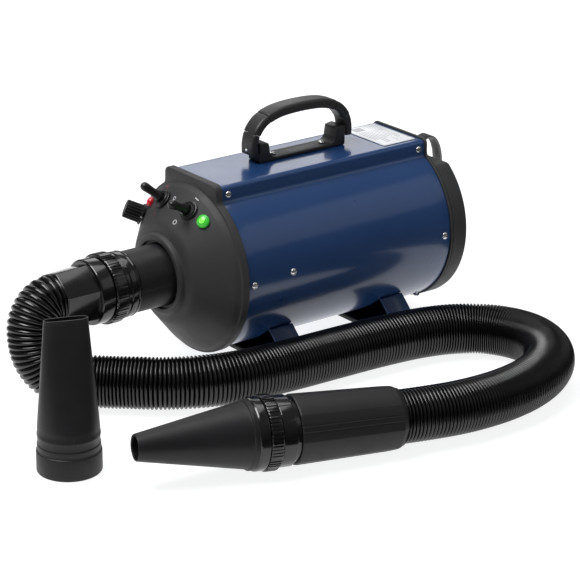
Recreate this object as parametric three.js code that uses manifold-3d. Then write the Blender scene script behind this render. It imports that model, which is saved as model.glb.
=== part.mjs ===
// Pet dryer: a blue sheet-metal barrel with a flat-topped spine, a black front cap with the
// controls and the air outlet, a rear filter, a folding carry handle, two strap feet, a
// corrugated hose with a grip and a cone nozzle, and a spare flat nozzle standing beside it.
// Millimetres. +X points to the rear of the machine, +Z up, the floor is z = 0. The origin is
// the centre of the front foot pad's underside, below the barrel's axis.

import * as THREE from 'three';
import { mergeVertices } from 'three/addons/utils/BufferGeometryUtils.js';
import Module from 'manifold-3d';

const wasm = await Module();
wasm.setup();

// ---------------------------------------------------------------- driving dimensions

const AXIS_Z = 98;             // height of the barrel's axis above the floor
const SHELL_LENGTH = 254;
const FOOT_X = 56;             // first strap foot, from the shell's front edge
const FOOT_SPACING = 140;
const GAP = 0.3;               // assembly clearance between neighbouring pieces

const BARREL_R = 84;
const SHEET = 1.2;             // sheet-metal thickness
const SPINE_HALF = 40;         // half width of the flat-topped spine
const SPINE_TOP = 89.7;        // above the axis
const SPINE_CORNER = 5;
const FILLET = 4;              // concave blend between spine and barrel

const FLANGE = 2.5;            // how far the end mouldings stand out past the shell
const CAP_RIM = 8;             // width of the front cap's outer band
const REAR_EDGE = 3;           // width of the rear edging
const WALL = 2.6;              // moulding wall
const SPIGOT = 14;             // how far the end mouldings reach into the shell

const CONE_BASE = [-14, 80];   // [x, radius] where the dished cone starts
const CONE_TIP = [-40, 50];    // and where it rolls over into the nose
const NOSE_X = -48;
const NOSE_R = 36.5;

const SLEEVE_R = 30.4;
const SLEEVE_BORE = 26.5;
const SLEEVE_END = -86;
const SOCKET_R = 32.4;
const SOCKET_END = -101;
const LOCK_R = 34.6;
const LOCK_END = -115;
const COLLAR_R = 32;
const COLLAR_END = -130;
const CUFF_END = -165;

const REAR_RIM = 18;           // how far the round rear rim stands back
const RIM_TOP = 66;            // the rim is cut flat at this height above the axis
const COVER_R = 77;

const STRAP_WIDTH = 28;
const STRAP = 2.5;
const STRAP_ANGLE = 47;        // where a leg leaves the barrel, in degrees from straight down
const FOOT_HALF = 97;          // half the track of the feet
const PAD_HEIGHT = 5;

const HANDLE_X = SHELL_LENGTH / 2;
const HANDLE_Y = 6;
const HANDLE_WIDTH = 20;
const BASE_LENGTH = 106;
const BASE_HEIGHT = 3.4;
const LUG_HEIGHT = 20;
const PIVOT_Z = 103;           // above the axis
const GRIP_THICK = [10, 9, 8.4];

const HOSE_R = 25;
const HOSE_STEPS = 60;
const GRIP_LENGTH = 105;
const NOZZLE_START = [-34, -280.4, 29.5];  // hose end of the hand grip
const NOZZLE_HEADING = 164.1;  // degrees about +Z
const NOZZLE_PITCH = 2.3;      // degrees nose up
const CONE_END = 250.5;        // tip of the cone nozzle, from the hose end of the grip
const CONE_TIP_R = 12.1;

const FLAT_X = -297.5;         // the spare nozzle's foot on the floor
const FLAT_Y = -142;
const FLAT_HEIGHT = 143;
const FLAT_BASE_R = 29.5;
const FLAT_SLOT = [39.5, 10.5];
const FLAT_TURN = -21;         // degrees about +Z

const TOGGLE_TILT = 14;        // degrees either side of centre; the heat toggle rests at centre
const ROUND = 32;              // facets round the barrel
const SEGMENTS = 24;           // facets round a turned piece
const SMALL = 12;              // facets round a small one

// Route of the hose's centreline, from the cuff on the machine through the hand grip.
const HOSE_ROUTE = [
  [-219, 0, 98], [-223, 0, 98], [-230, 0, 96.8], [-238.5, -1, 91.5], [-244.5, -2, 82],
  [-246.5, -4, 68], [-244, -8, 50], [-235, -15, 35], [-219, -28, 27], [-200, -43, 25.4],
  [-178, -62, 25.2], [-153, -83, 25.2],
  [-120, -101, 25.2], [-82, -112, 25.2], [-36, -117, 25.2], [18, -119.5, 25.2],
  [74, -122.5, 25.2], [122, -129, 25.2], [154, -140, 25.2], [179, -158, 25.2],
  [194, -181, 25.2], [199, -207, 25.2], [192, -234, 25.2], [175, -257, 25.2],
  [150, -275, 25.2], [120, -287, 25.4], [88, -293.5, 26], [56, -295, 26.6],
  [24, -293, 27.6], [-8, -287, 28.7], [-34, -280.4, 29.5],
  [-67.6, -270.8, 30.9], [-101.3, -261.2, 32.3], [-133, -252.2, 33.6],
];

// ---------------------------------------------------------------- materials

function finish(color, roughness, metalness = 0) {
  return new THREE.MeshStandardMaterial({ color, roughness, metalness });
}
const navyPaint = () => finish(0x16305f, 0.22, 0.1);
const matteBlack = () => finish(0x1d1e20, 0.62);
const glossBlack = () => finish(0x0c0c0e, 0.2);
const darkRubber = () => finish(0x242424, 0.85);
const steel = () => finish(0xc9cbcd, 0.28, 1);
const copper = () => finish(0xb4693a, 0.4, 1);

// ---------------------------------------------------------------- solids

// Keeps only positions, merges them, drops collapsed faces and turns the faces outward.
function closed(geometry) {
  const bare = new THREE.BufferGeometry();
  bare.setAttribute('position', geometry.getAttribute('position').clone());
  if (geometry.index) {
    bare.setIndex(geometry.index.clone());
  }
  const welded = mergeVertices(bare, 1e-3);
  const index = [];
  const old = welded.index.array;
  for (let i = 0; i < old.length; i += 3) {
    const [a, b, c] = [old[i], old[i + 1], old[i + 2]];
    if (a !== b && b !== c && c !== a) {
      index.push(a, b, c);
    }
  }
  if (volume(welded.attributes.position, index) < 0) {
    index.reverse();
  }
  welded.setIndex(index);
  return welded;
}

function volume(position, index) {
  const [a, b, c] = [new THREE.Vector3(), new THREE.Vector3(), new THREE.Vector3()];
  let sum = 0;
  for (let i = 0; i < index.length; i += 3) {
    a.fromBufferAttribute(position, index[i]);
    b.fromBufferAttribute(position, index[i + 1]);
    c.fromBufferAttribute(position, index[i + 2]);
    sum += a.dot(b.cross(c));
  }
  return sum / 6;
}

function solid(geometry) {
  const mesh = closed(geometry);
  return new wasm.Manifold(new wasm.Mesh({
    numProp: 3,
    vertProperties: new Float32Array(mesh.attributes.position.array),
    triVerts: new Uint32Array(mesh.index.array),
  }));
}

function surface(manifold) {
  const mesh = manifold.getMesh();
  const geometry = new THREE.BufferGeometry();
  geometry.setAttribute('position', new THREE.BufferAttribute(mesh.vertProperties, 3));
  geometry.setIndex(new THREE.BufferAttribute(mesh.triVerts, 1));
  return geometry;
}

function join(...geometries) {
  return surface(geometries.map(solid).reduce((sum, next) => sum.add(next)));
}

function cut(geometry, ...tools) {
  return surface(tools.map(solid).reduce((rest, tool) => rest.subtract(tool), solid(geometry)));
}

function overlap(geometry, tool) {
  return surface(solid(geometry).intersect(solid(tool)));
}

// A [x, radius] outline turned about the X axis. An open outline is closed along the axis.
function turned(outline, segments = SEGMENTS) {
  const points = outline.map(([x, r]) => new THREE.Vector2(r, x));
  return new THREE.LatheGeometry(points, segments).rotateZ(-Math.PI / 2);
}

function ring(x0, x1, outer, inner, segments = SEGMENTS) {
  return turned([[x0, inner], [x1, inner], [x1, outer], [x0, outer], [x0, inner]], segments);
}

function disc(x0, x1, radius, segments = SEGMENTS) {
  return turned([[x0, 0], [x0, radius], [x1, radius], [x1, 0]], segments);
}

// A shape drawn in (y, z) and carried along X.
function along(shape, x0, x1, curveSegments = 16) {
  const geometry = new THREE.ExtrudeGeometry(shape, {
    depth: x1 - x0, bevelEnabled: false, curveSegments,
  });
  const [x, y, z] = [[1, 0, 0], [0, 1, 0], [0, 0, 1]].map((v) => new THREE.Vector3(...v));
  geometry.applyMatrix4(new THREE.Matrix4().makeBasis(y, z, x));
  return geometry.translate(x0, 0, 0);
}

function box(x0, x1, y0, y1, z0, z1) {
  const geometry = new THREE.BoxGeometry(x1 - x0, y1 - y0, z1 - z0);
  return geometry.translate((x0 + x1) / 2, (y0 + y1) / 2, (z0 + z1) / 2);
}

// A cylinder standing on z = z0 of the frame it is used in.
function post(z0, z1, radius, segments = SMALL) {
  const geometry = new THREE.CylinderGeometry(radius, radius, z1 - z0, segments);
  return geometry.rotateX(Math.PI / 2).translate(0, 0, (z0 + z1) / 2);
}

// A [z, radius] outline turned about the Z axis.
function spun(outline, segments = SMALL) {
  const points = outline.map(([z, r]) => new THREE.Vector2(r, z));
  return new THREE.LatheGeometry(points, segments).rotateX(Math.PI / 2);
}

function moved(geometry, matrix) {
  return geometry.clone().applyMatrix4(matrix);
}

const dryer = new THREE.Group();
const machine = new THREE.Group();
machine.position.set(-FOOT_X, 0, AXIS_Z);
dryer.add(machine);

function piece(parent, name, geometry, material) {
  const mesh = new THREE.Mesh(closed(geometry), material);
  mesh.name = name;
  parent.add(mesh);
  return mesh;
}

// ---------------------------------------------------------------- keyhole section

// The barrel's section, grown outward by an amount: a circle with the spine on top.
function keyhole(grow) {
  const r = BARREL_R + grow;
  const w = SPINE_HALF + grow;
  const top = SPINE_TOP + grow;
  const corner = SPINE_CORNER + grow;
  const foot = Math.sqrt(r * r - (w + FILLET) ** 2);
  const angle = Math.atan2(foot, w + FILLET);
  const shape = new THREE.Shape();
  const sweep = Math.PI + 2 * angle;
  for (let i = 0; i <= ROUND; i += 1) {
    const a = angle - (sweep * i) / ROUND;
    if (i === 0) {
      shape.moveTo(r * Math.cos(a), r * Math.sin(a));
    } else {
      shape.lineTo(r * Math.cos(a), r * Math.sin(a));
    }
  }
  shape.quadraticCurveTo(-w, foot + FILLET / 2, -w, foot + FILLET * 1.6);
  shape.lineTo(-w, top - corner);
  shape.quadraticCurveTo(-w, top, -w + corner, top);
  shape.lineTo(w - corner, top);
  shape.quadraticCurveTo(w, top, w, top - corner);
  shape.lineTo(w, foot + FILLET * 1.6);
  shape.quadraticCurveTo(w, foot + FILLET / 2, w + FILLET, foot);
  return shape;
}

function keyholeSolid(grow, x0, x1) {
  return along(keyhole(grow), x0, x1, 2);
}

// Where the case screws stand: [x, half width, z] on one side; the other side mirrors it.
const SIDE_SCREWS = {
  spine_front: [8, SPINE_HALF, 81.2],
  spine_rear: [SHELL_LENGTH - 8, SPINE_HALF, 81.2],
  side_front: [7, BARREL_R, 2],
  side_rear: [SHELL_LENGTH - 8, BARREL_R, 2],
  motor: [53.4, BARREL_R, 6],
};
const HEAD_LIFT = 0.45;        // a flat head clears the round barrel by this much
const SCREW_SHANK = 1.7;
const SCREW_HOLE = 2.1;
const SCREW_HEAD = 3.6;

// A pan-head screw along +Z with its head's underside on z = 0.
function screwShape(length) {
  return spun([
    [-length, 0], [-length, SCREW_SHANK], [0, SCREW_SHANK], [0, SCREW_HEAD],
    [1.2, SCREW_HEAD], [2.6, 0],
  ], 10);
}

function sideScrewMatrix([x, y, z], side) {
  const onBarrel = y === BARREL_R;
  const lift = (onBarrel ? Math.sqrt(y * y - z * z) : y) + HEAD_LIFT;
  const turn = new THREE.Matrix4().makeRotationX(-side * Math.PI / 2);
  return new THREE.Matrix4().makeTranslation(x, side * lift, z).multiply(turn);
}

function sideHoles() {
  const holes = [];
  for (const place of Object.values(SIDE_SCREWS)) {
    for (const side of [-1, 1]) {
      holes.push(moved(post(-9, 4, SCREW_HOLE, 8), sideScrewMatrix(place, side)));
    }
  }
  return holes;
}

const HANDLE_SCREWS = [HANDLE_X - 31, HANDLE_X + 31];

function handleHoles() {
  return HANDLE_SCREWS.map((x) => {
    return post(SPINE_TOP - 8, SPINE_TOP + 8, SCREW_HOLE, 8).translate(x, HANDLE_Y, 0);
  });
}

// ---------------------------------------------------------------- barrel and its ends

function barrelShell() {
  const tube = cut(
    keyholeSolid(0, GAP, SHELL_LENGTH - GAP),
    keyholeSolid(-SHEET, -1, SHELL_LENGTH + 1),
  );
  return cut(tube, ...sideHoles(), ...handleHoles());
}

// A frame on the front cone at an angle from the top (towards -Y): +Z is the outward normal
// and +X runs down the cone towards the nose.
function conePlace([degrees, down01]) {
  const angle = THREE.MathUtils.degToRad(degrees);
  const x = THREE.MathUtils.lerp(CONE_BASE[0], CONE_TIP[0], down01);
  const r = THREE.MathUtils.lerp(CONE_BASE[1], CONE_TIP[1], down01);
  const radial = new THREE.Vector3(0, -Math.sin(angle), Math.cos(angle));
  const down = radial.clone().multiplyScalar(CONE_TIP[1] - CONE_BASE[1]);
  down.x = CONE_TIP[0] - CONE_BASE[0];
  down.normalize();
  const side = new THREE.Vector3().crossVectors(radial, new THREE.Vector3(1, 0, 0));
  const normal = new THREE.Vector3().crossVectors(down, side);
  if (normal.x > 0) {
    normal.negate();
    side.negate();
  }
  const matrix = new THREE.Matrix4().makeBasis(down, side, normal);
  return matrix.setPosition(x, r * radial.y, r * radial.z);
}

// Where each control stands: degrees from the top, and how far down the cone.
const CONTROL_SPOTS = {
  knob: [-55.5, 0.33], red: [-40, 0.26], heat: [-18, 0.36], power: [17, 0.36], green: [34, 0.26],
};
const CONTROL_HOLES = { knob: 4.8, red: 4.2, heat: 6.3, power: 6.3, green: 5.4 };

function frontCap() {
  const outside = join(
    turned([
      [2, 0], [2, BARREL_R - 2], [-4, BARREL_R], [-CAP_RIM + 1, BARREL_R + FLANGE],
      [-CAP_RIM - 2.5, 83.6], CONE_BASE, CONE_TIP, [-44.5, 43.6], [NOSE_X + 1.5, NOSE_R + 2],
      [NOSE_X, NOSE_R], [NOSE_X, 0],
    ], ROUND),
    keyholeSolid(FLANGE, -CAP_RIM, 0),
    keyholeSolid(-SHEET - GAP, -1, SPIGOT),
  );
  const inside = join(
    turned([
      [1, 0], [1, BARREL_R - 5], [-CAP_RIM + 2, BARREL_R - 4], [CONE_BASE[0] + 1, CONE_BASE[1] - 3],
      [CONE_TIP[0] + 2, CONE_TIP[1] - 3.4], [NOSE_X + 5, NOSE_R + 1], [NOSE_X + 5, 0],
    ], ROUND),
    keyholeSolid(-SHEET - GAP - WALL, -CAP_RIM + 2.5, SPIGOT + 1),
    disc(NOSE_X - 1, NOSE_X + 8, SLEEVE_R + GAP),
    disc(NOSE_X - 1, NOSE_X + 3, NOSE_R - 2.8),
  );
  const holes = Object.entries(CONTROL_HOLES).map(([name, radius]) => {
    return moved(post(-12, 12, radius, SMALL), conePlace(CONTROL_SPOTS[name]));
  });
  return cut(outside, inside, ...holes, ...sideHoles());
}

// Everything behind the barrel's middle that lies below a height.
function belowLine(height) {
  return box(0, 2 * SHELL_LENGTH, -200, 200, -200, height);
}

function rearFrame() {
  const end = SHELL_LENGTH + REAR_EDGE + REAR_RIM;
  const rim = overlap(disc(SHELL_LENGTH, end, BARREL_R + 1.5, ROUND), belowLine(RIM_TOP));
  const solidFrame = join(
    keyholeSolid(FLANGE - 1, SHELL_LENGTH, SHELL_LENGTH + REAR_EDGE),
    keyholeSolid(-SHEET - GAP, SHELL_LENGTH - SPIGOT, SHELL_LENGTH + 1),
    rim,
  );
  const pocket = disc(SHELL_LENGTH + 1, end + 1, COVER_R + 5, ROUND);
  return cut(
    solidFrame,
    overlap(pocket, belowLine(RIM_TOP - WALL)),
    disc(SHELL_LENGTH - SPIGOT - 1, SHELL_LENGTH + 2, COVER_R - 12, ROUND),
    keyholeSolid(-SHEET - GAP - WALL, SHELL_LENGTH - SPIGOT - 1, SHELL_LENGTH - 2),
    ...sideHoles(),
    post(-30, 30, 6.4).applyMatrix4(glandPlace()),
  );
}

// The round grille that closes the rear, cut flat on top like the rim it sits in.
function filterCover() {
  const x0 = SHELL_LENGTH + 12;
  const plate = overlap(
    disc(x0, x0 + 4, COVER_R + 4, ROUND),
    belowLine(RIM_TOP - WALL - 0.6),
  );
  const bars = [];
  for (let row = -6; row <= 3; row += 1) {
    const z = row * 10 + 4;
    const half = Math.sqrt((COVER_R - 8) ** 2 - (Math.abs(z) + 3) ** 2);
    for (const side of [-1, 1]) {
      const [near, far] = side < 0 ? [-half, -13] : [13, half];
      bars.push(box(x0 - 1, x0 + 5, near, far, z - 3, z + 3));
    }
  }
  return cut(plate, ...bars);
}

function filterFoam() {
  const x0 = SHELL_LENGTH + 3.6;
  return overlap(disc(x0, x0 + 8, COVER_R + 3, ROUND), belowLine(RIM_TOP - WALL - 1.5));
}

// The webbing loop that pulls the filter cover out.
function pullLoop() {
  const x0 = SHELL_LENGTH + 16 + GAP;
  const outline = new THREE.Shape();
  outline.moveTo(x0, 53);
  outline.lineTo(x0 + 6.5, 61);
  outline.bezierCurveTo(x0 + 8, 88, x0 + 36, 86, x0 + 38, 50);
  outline.bezierCurveTo(x0 + 38.5, 34, x0 + 24, 22, x0, 22);
  outline.lineTo(x0, 24.6);
  outline.bezierCurveTo(x0 + 22.6, 24.6, x0 + 36, 35.4, x0 + 35.4, 50);
  outline.bezierCurveTo(x0 + 33.4, 82.4, x0 + 10.8, 84.4, x0 + 9.1, 60.2);
  outline.lineTo(x0 + 3.4, 53);
  const loop = new THREE.ExtrudeGeometry(outline, {
    depth: 13, bevelEnabled: false, curveSegments: 10,
  });
  return loop.rotateX(Math.PI / 2).translate(0, 6.5, 0);
}

function glandPlace() {
  const turn = new THREE.Matrix4().makeRotationX(-Math.PI / 2);
  const x = SHELL_LENGTH + REAR_EDGE + REAR_RIM / 2;
  return new THREE.Matrix4().makeTranslation(x, BARREL_R + 1.5, -20).multiply(turn);
}

// The gland where the mains lead enters, on the far side of the rear rim.
function cordGland() {
  return spun([
    [-3.2, 3.6], [12, 3.6], [12, 5], [4, 7], [4, 8.6], [0, 8.6], [0, 6], [-3.2, 6], [-3.2, 3.6],
  ]).applyMatrix4(glandPlace());
}

function labelPlate() {
  return box(208, 249, -32, 34, SPINE_TOP + GAP, SPINE_TOP + GAP + 0.6);
}

// ---------------------------------------------------------------- feet

function arcPoint(radius, degrees) {
  const a = THREE.MathUtils.degToRad(degrees);
  return new THREE.Vector2(radius * Math.sin(a), -radius * Math.cos(a));
}

// One strap: a saddle under the barrel, two splayed legs and two toes on the pad.
function footBracket(x) {
  const inner = BARREL_R + GAP;
  const outer = inner + STRAP;
  const toeTop = -AXIS_Z + PAD_HEIGHT + GAP + STRAP;
  const toeBottom = toeTop - STRAP;
  const shape = new THREE.Shape();
  const steps = 14;
  const start = arcPoint(inner, -STRAP_ANGLE);
  shape.moveTo(start.x, start.y);
  for (let i = 1; i <= steps; i += 1) {
    const p = arcPoint(inner, -STRAP_ANGLE + (2 * STRAP_ANGLE * i) / steps);
    shape.lineTo(p.x, p.y);
  }
  shape.lineTo(FOOT_HALF, toeTop);
  shape.lineTo(FOOT_HALF, toeBottom);
  shape.lineTo(FOOT_HALF - 16, toeBottom);
  shape.lineTo(FOOT_HALF - 16, toeTop);
  shape.lineTo(FOOT_HALF - 3.6, toeTop);
  for (let i = 0; i <= steps; i += 1) {
    const p = arcPoint(outer, STRAP_ANGLE - 1.5 - ((2 * STRAP_ANGLE - 3) * i) / steps);
    shape.lineTo(p.x, p.y);
  }
  shape.lineTo(-FOOT_HALF + 3.6, toeTop);
  shape.lineTo(-FOOT_HALF + 16, toeTop);
  shape.lineTo(-FOOT_HALF + 16, toeBottom);
  shape.lineTo(-FOOT_HALF, toeBottom);
  shape.lineTo(-FOOT_HALF, toeTop);
  return along(shape, x - STRAP_WIDTH / 2, x + STRAP_WIDTH / 2);
}

function footPad(x) {
  const half = STRAP_WIDTH / 2;
  return box(x - half, x + half, -FOOT_HALF, FOOT_HALF, -AXIS_Z, -AXIS_Z + PAD_HEIGHT);
}

// ---------------------------------------------------------------- carry handle

function handleBase() {
  const half = BASE_LENGTH / 2;
  const z = SPINE_TOP + GAP;
  const side = new THREE.Shape();
  side.moveTo(-half, z);
  side.lineTo(half, z);
  side.lineTo(half, z + LUG_HEIGHT - 3);
  side.quadraticCurveTo(half, z + LUG_HEIGHT, half - 4, z + LUG_HEIGHT);
  side.lineTo(half - 11, z + LUG_HEIGHT - 1);
  side.quadraticCurveTo(half - 12, z + BASE_HEIGHT, half - 18, z + BASE_HEIGHT);
  side.lineTo(-half + 18, z + BASE_HEIGHT);
  side.quadraticCurveTo(-half + 12, z + BASE_HEIGHT, -half + 11, z + LUG_HEIGHT - 1);
  side.lineTo(-half + 4, z + LUG_HEIGHT);
  side.quadraticCurveTo(-half, z + LUG_HEIGHT, -half, z + LUG_HEIGHT - 3);
  const body = new THREE.ExtrudeGeometry(side, {
    depth: HANDLE_WIDTH, bevelEnabled: false, curveSegments: 6,
  });
  body.rotateX(Math.PI / 2).translate(HANDLE_X, HANDLE_Y + HANDLE_WIDTH / 2, 0);
  const pinHole = disc(0, SHELL_LENGTH, PIN_HOLE, SMALL).translate(0, HANDLE_Y, PIVOT_Z);
  return cut(body, pinHole, ...handleHoles());
}

const HANDLE_LEG = 58.5;       // half the distance between the handle's legs
const PIN_R = 2;
const PIN_HOLE = 2.4;

function handlePath() {
  const half = [[HANDLE_LEG, 98.6], [HANDLE_LEG, 109], [55.4, 119.5], [46.5, 129.6],
    [30, 136.2], [0, 138.6]];
  const left = half.map(([x, z]) => new THREE.Vector3(HANDLE_X - x, HANDLE_Y, z));
  const right = half.slice(0, -1).reverse();
  const rest = right.map(([x, z]) => new THREE.Vector3(HANDLE_X + x, HANDLE_Y, z));
  return new THREE.CatmullRomCurve3([...left, ...rest], false, 'centripetal');
}

function handleStretch(from, to) {
  const whole = handlePath();
  const points = [];
  const count = 12;
  for (let i = 0; i <= count; i += 1) {
    points.push(whole.getPointAt(from + ((to - from) * i) / count));
  }
  return new THREE.CatmullRomCurve3(points);
}

function roundedRectangle(Kind, width, height, corner) {
  const [w, h, c] = [width / 2, height / 2, corner];
  const shape = new Kind();
  shape.moveTo(-w + c, -h);
  shape.lineTo(w - c, -h);
  shape.quadraticCurveTo(w, -h, w, -h + c);
  shape.lineTo(w, h - c);
  shape.quadraticCurveTo(w, h, w - c, h);
  shape.lineTo(-w + c, h);
  shape.quadraticCurveTo(-w, h, -w, h - c);
  shape.lineTo(-w, -h + c);
  shape.quadraticCurveTo(-w, -h, -w + c, -h);
  return shape;
}

const CORE = [10, 1.6];        // spring-steel band inside the grip

function gripSegment(from, to, thick, steps) {
  const section = roundedRectangle(THREE.Shape, HANDLE_WIDTH, thick, 3.6);
  section.holes.push(roundedRectangle(THREE.Path, CORE[0] + 0.8, CORE[1] + 0.8, 0.3));
  return new THREE.ExtrudeGeometry(section, {
    steps, bevelEnabled: false, curveSegments: 2, extrudePath: handleStretch(from, to),
  });
}

function pinHoles() {
  return [-1, 1].map((side) => {
    const x = HANDLE_X + side * HANDLE_LEG;
    return disc(x - 12, x + 12, PIN_HOLE, SMALL).translate(0, HANDLE_Y, PIVOT_Z);
  });
}

function handleCore() {
  const section = roundedRectangle(THREE.Shape, CORE[0], CORE[1], 0.2);
  const band = new THREE.ExtrudeGeometry(section, {
    steps: 22, bevelEnabled: false, curveSegments: 1, extrudePath: handleStretch(0.006, 0.994),
  });
  return cut(band, ...pinHoles());
}

function handlePin(side) {
  const inner = HANDLE_X + side * (BASE_LENGTH / 2 - 8);
  const outer = HANDLE_X + side * (HANDLE_LEG + 4.6);
  const [x0, x1] = [Math.min(inner, outer), Math.max(inner, outer)];
  return disc(x0, x1, PIN_R, SMALL).translate(0, HANDLE_Y, PIVOT_Z);
}

// ---------------------------------------------------------------- outlet and hose end

function outletSleeve() {
  return turned([
    [SLEEVE_END, SLEEVE_BORE], [-30, SLEEVE_BORE], [-30, 34], [NOSE_X + 8 + GAP, 34],
    [NOSE_X + 8 + GAP, SLEEVE_R], [SLEEVE_END, SLEEVE_R], [SLEEVE_END, SLEEVE_BORE],
  ]);
}

function outletSocket() {
  const x = SLEEVE_END - GAP;
  return turned([
    [x, SLEEVE_BORE], [x, SOCKET_R - 1], [x - 1, SOCKET_R], [SOCKET_END + 4, SOCKET_R],
    [SOCKET_END + 3, SOCKET_R - 1], [SOCKET_END, SOCKET_R - 1], [SOCKET_END, SLEEVE_BORE + 2.4],
    [LOCK_END - 4, SLEEVE_BORE + 2.4], [LOCK_END - 4, SLEEVE_BORE], [x, SLEEVE_BORE],
  ]);
}

// A knurled ring between x0 and x1 whose bore clears the socket inside it.
function lockRing(x0, x1, radius, bore) {
  const teeth = 32;
  const shape = new THREE.Shape();
  for (let i = 0; i < teeth; i += 1) {
    for (const [part, r] of [[0, radius], [0.5, radius - 0.9]]) {
      const a = (2 * Math.PI * (i + part)) / teeth;
      if (i === 0 && part === 0) {
        shape.moveTo(r, 0);
      } else {
        shape.lineTo(r * Math.cos(a), r * Math.sin(a));
      }
    }
  }
  const hole = new THREE.Path();
  hole.absarc(0, 0, bore, 0, 2 * Math.PI, true);
  shape.holes.push(hole);
  return along(shape, x0, x1, SEGMENTS / 2);
}

// The collar and the eight-sided cuff that the hose is glued into.
function hoseCuff(x0, x1, x2, collar, bore, small) {
  const step = Math.sign(x2 - x0);
  return turned([
    [x0, bore], [x0, collar - 0.8], [x0 + step, collar], [x1 - step, collar],
    [x1, collar - 1], [x1, small + 3], [x2 - step, small + 1], [x2, small], [x2, bore - 4],
    [x1, bore - 4], [x0 + step * 5, bore], [x0, bore],
  ]);
}

// ---------------------------------------------------------------- hose

const HOSE_WALL = 2;

function octagon(Kind, radius) {
  const corners = [];
  for (let i = 0; i < 8; i += 1) {
    const a = (Math.PI * i) / 4;
    corners.push(new THREE.Vector2(radius * Math.cos(a), radius * Math.sin(a)));
  }
  return new Kind().setFromPoints(corners);
}

function hose() {
  const section = octagon(THREE.Shape, HOSE_R);
  section.holes.push(octagon(THREE.Path, HOSE_R - HOSE_WALL));
  const route = HOSE_ROUTE.map((p) => new THREE.Vector3(...p));
  return new THREE.ExtrudeGeometry(section, {
    steps: HOSE_STEPS, bevelEnabled: false,
    extrudePath: new THREE.CatmullRomCurve3(route, false, 'centripetal'),
  });
}

// ---------------------------------------------------------------- hand grip and cone nozzle

const nozzleLine = new THREE.Group();
nozzleLine.position.set(...NOZZLE_START);
nozzleLine.rotation.set(
  0,
  -THREE.MathUtils.degToRad(NOZZLE_PITCH),
  THREE.MathUtils.degToRad(NOZZLE_HEADING),
  'ZYX',
);
dryer.add(nozzleLine);

// A sleeve over the end of the hose that swells towards the nozzle.
function handGrip() {
  const bore = HOSE_R + 3 * GAP;
  return turned([
    [GAP, bore], [GAP, 26.6], [6, 29.6], [GRIP_LENGTH - 2, 32.4], [GRIP_LENGTH, 31.6],
    [GRIP_LENGTH, bore], [GAP, bore],
  ], 16);
}

function nozzleSocket() {
  const x = GRIP_LENGTH + GAP;
  const bore = HOSE_R - 1;
  return turned([
    [x, bore], [x, 30.2], [x + 3.4, 30.2], [x + 3.4, 32.4], [123, 32.4], [123, 28.6],
    [137, 28.6], [137, bore], [x, bore],
  ]);
}

function coneNozzle() {
  const wall = 2.2;
  return turned([
    [135.4, 29.4], [135.4, 33.4], [145, 33.4], [146, 32], [149.5, 32], [150, 30.6],
    [CONE_END - 1, CONE_TIP_R + 0.3], [CONE_END, CONE_TIP_R - 0.6],
    [CONE_END, CONE_TIP_R - wall], [152, 30.6 - wall], [140, 29.4], [135.4, 29.4],
  ]);
}

// ---------------------------------------------------------------- spare flat nozzle

// Turned round at the foot, then pressed flat towards the slot as it rises.
function pressedFlat(outline, neck, squash) {
  const geometry = spun([[outline[0][0], 0], ...outline, [outline.at(-1)[0], 0]], SEGMENTS);
  const position = geometry.attributes.position;
  for (let i = 0; i < position.count; i += 1) {
    const rise = THREE.MathUtils.clamp((position.getZ(i) - neck) / (FLAT_HEIGHT - neck), 0, 1);
    const flat = THREE.MathUtils.lerp(1, squash, Math.sin(rise * Math.PI / 2));
    position.setY(i, position.getY(i) * flat);
  }
  return geometry;
}

function flatNozzle() {
  const wall = 2.4;
  const lip = 1.6;
  const neck = 42;
  const top = FLAT_SLOT[0] / 2;
  const mouth = FLAT_SLOT[1] / 2;
  const outside = [[0, FLAT_BASE_R], [20, FLAT_BASE_R], [21.5, FLAT_BASE_R - 1.4],
    [neck, FLAT_BASE_R - 1.6]];
  const rise = 4;
  for (let i = 1; i <= rise; i += 1) {
    const t = i / rise;
    const z = THREE.MathUtils.lerp(neck, FLAT_HEIGHT, t);
    outside.push([z, THREE.MathUtils.lerp(FLAT_BASE_R - 1.6, top, t)]);
  }
  const inside = outside.map(([z, r]) => [z, r - wall]);
  inside[0][0] -= 1;
  inside.at(-1)[0] += 1;
  const geometry = cut(
    pressedFlat(outside, neck, mouth / top),
    pressedFlat(inside, neck, (mouth - lip) / (top - wall)),
  );
  geometry.rotateZ(THREE.MathUtils.degToRad(FLAT_TURN));
  return geometry.translate(FLAT_X, FLAT_Y, 0);
}

// ---------------------------------------------------------------- controls

function addControl(name, geometry, material, spot) {
  const mesh = piece(machine, name, geometry, material);
  mesh.applyMatrix4(conePlace(spot));
  return mesh;
}

const LIFT = 1.0;              // a flat washer face clears the round cone by this much

function switchBody() {
  const bushing = spun([[-9, 0], [-9, 5.9], [3.4, 5.9], [3.4, 5], [-3.6, 5], [-3.6, 0]]);
  return join(bushing, box(-8, 8, -6.5, 6.5, -28, -8));
}

function nut() {
  return spun([[LIFT, 6.2], [4, 6.2], [4.2, 8.4], [3.4, 9.4], [LIFT, 9.6], [LIFT, 6.2]], SMALL);
}

const LEVER_PIVOT = 1.4;       // height of a toggle's pivot above the cone

// A rubber boot and bat lever whose ball turns in the switch's bushing.
function toggle(tilt) {
  const ball = 4.3;
  const outline = [[-ball, 0], [-3.2, 2.9], [0, ball], [2.4, 3.6], [3.4, 4.6], [8, 4.3],
    [12, 3.7], [18, 3.9], [23.5, 4.3], [26.5, 3.1], [27.8, 0]];
  const lever = spun(outline).rotateY(THREE.MathUtils.degToRad(tilt));
  return lever.translate(0, 0, LEVER_PIVOT);
}

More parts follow.
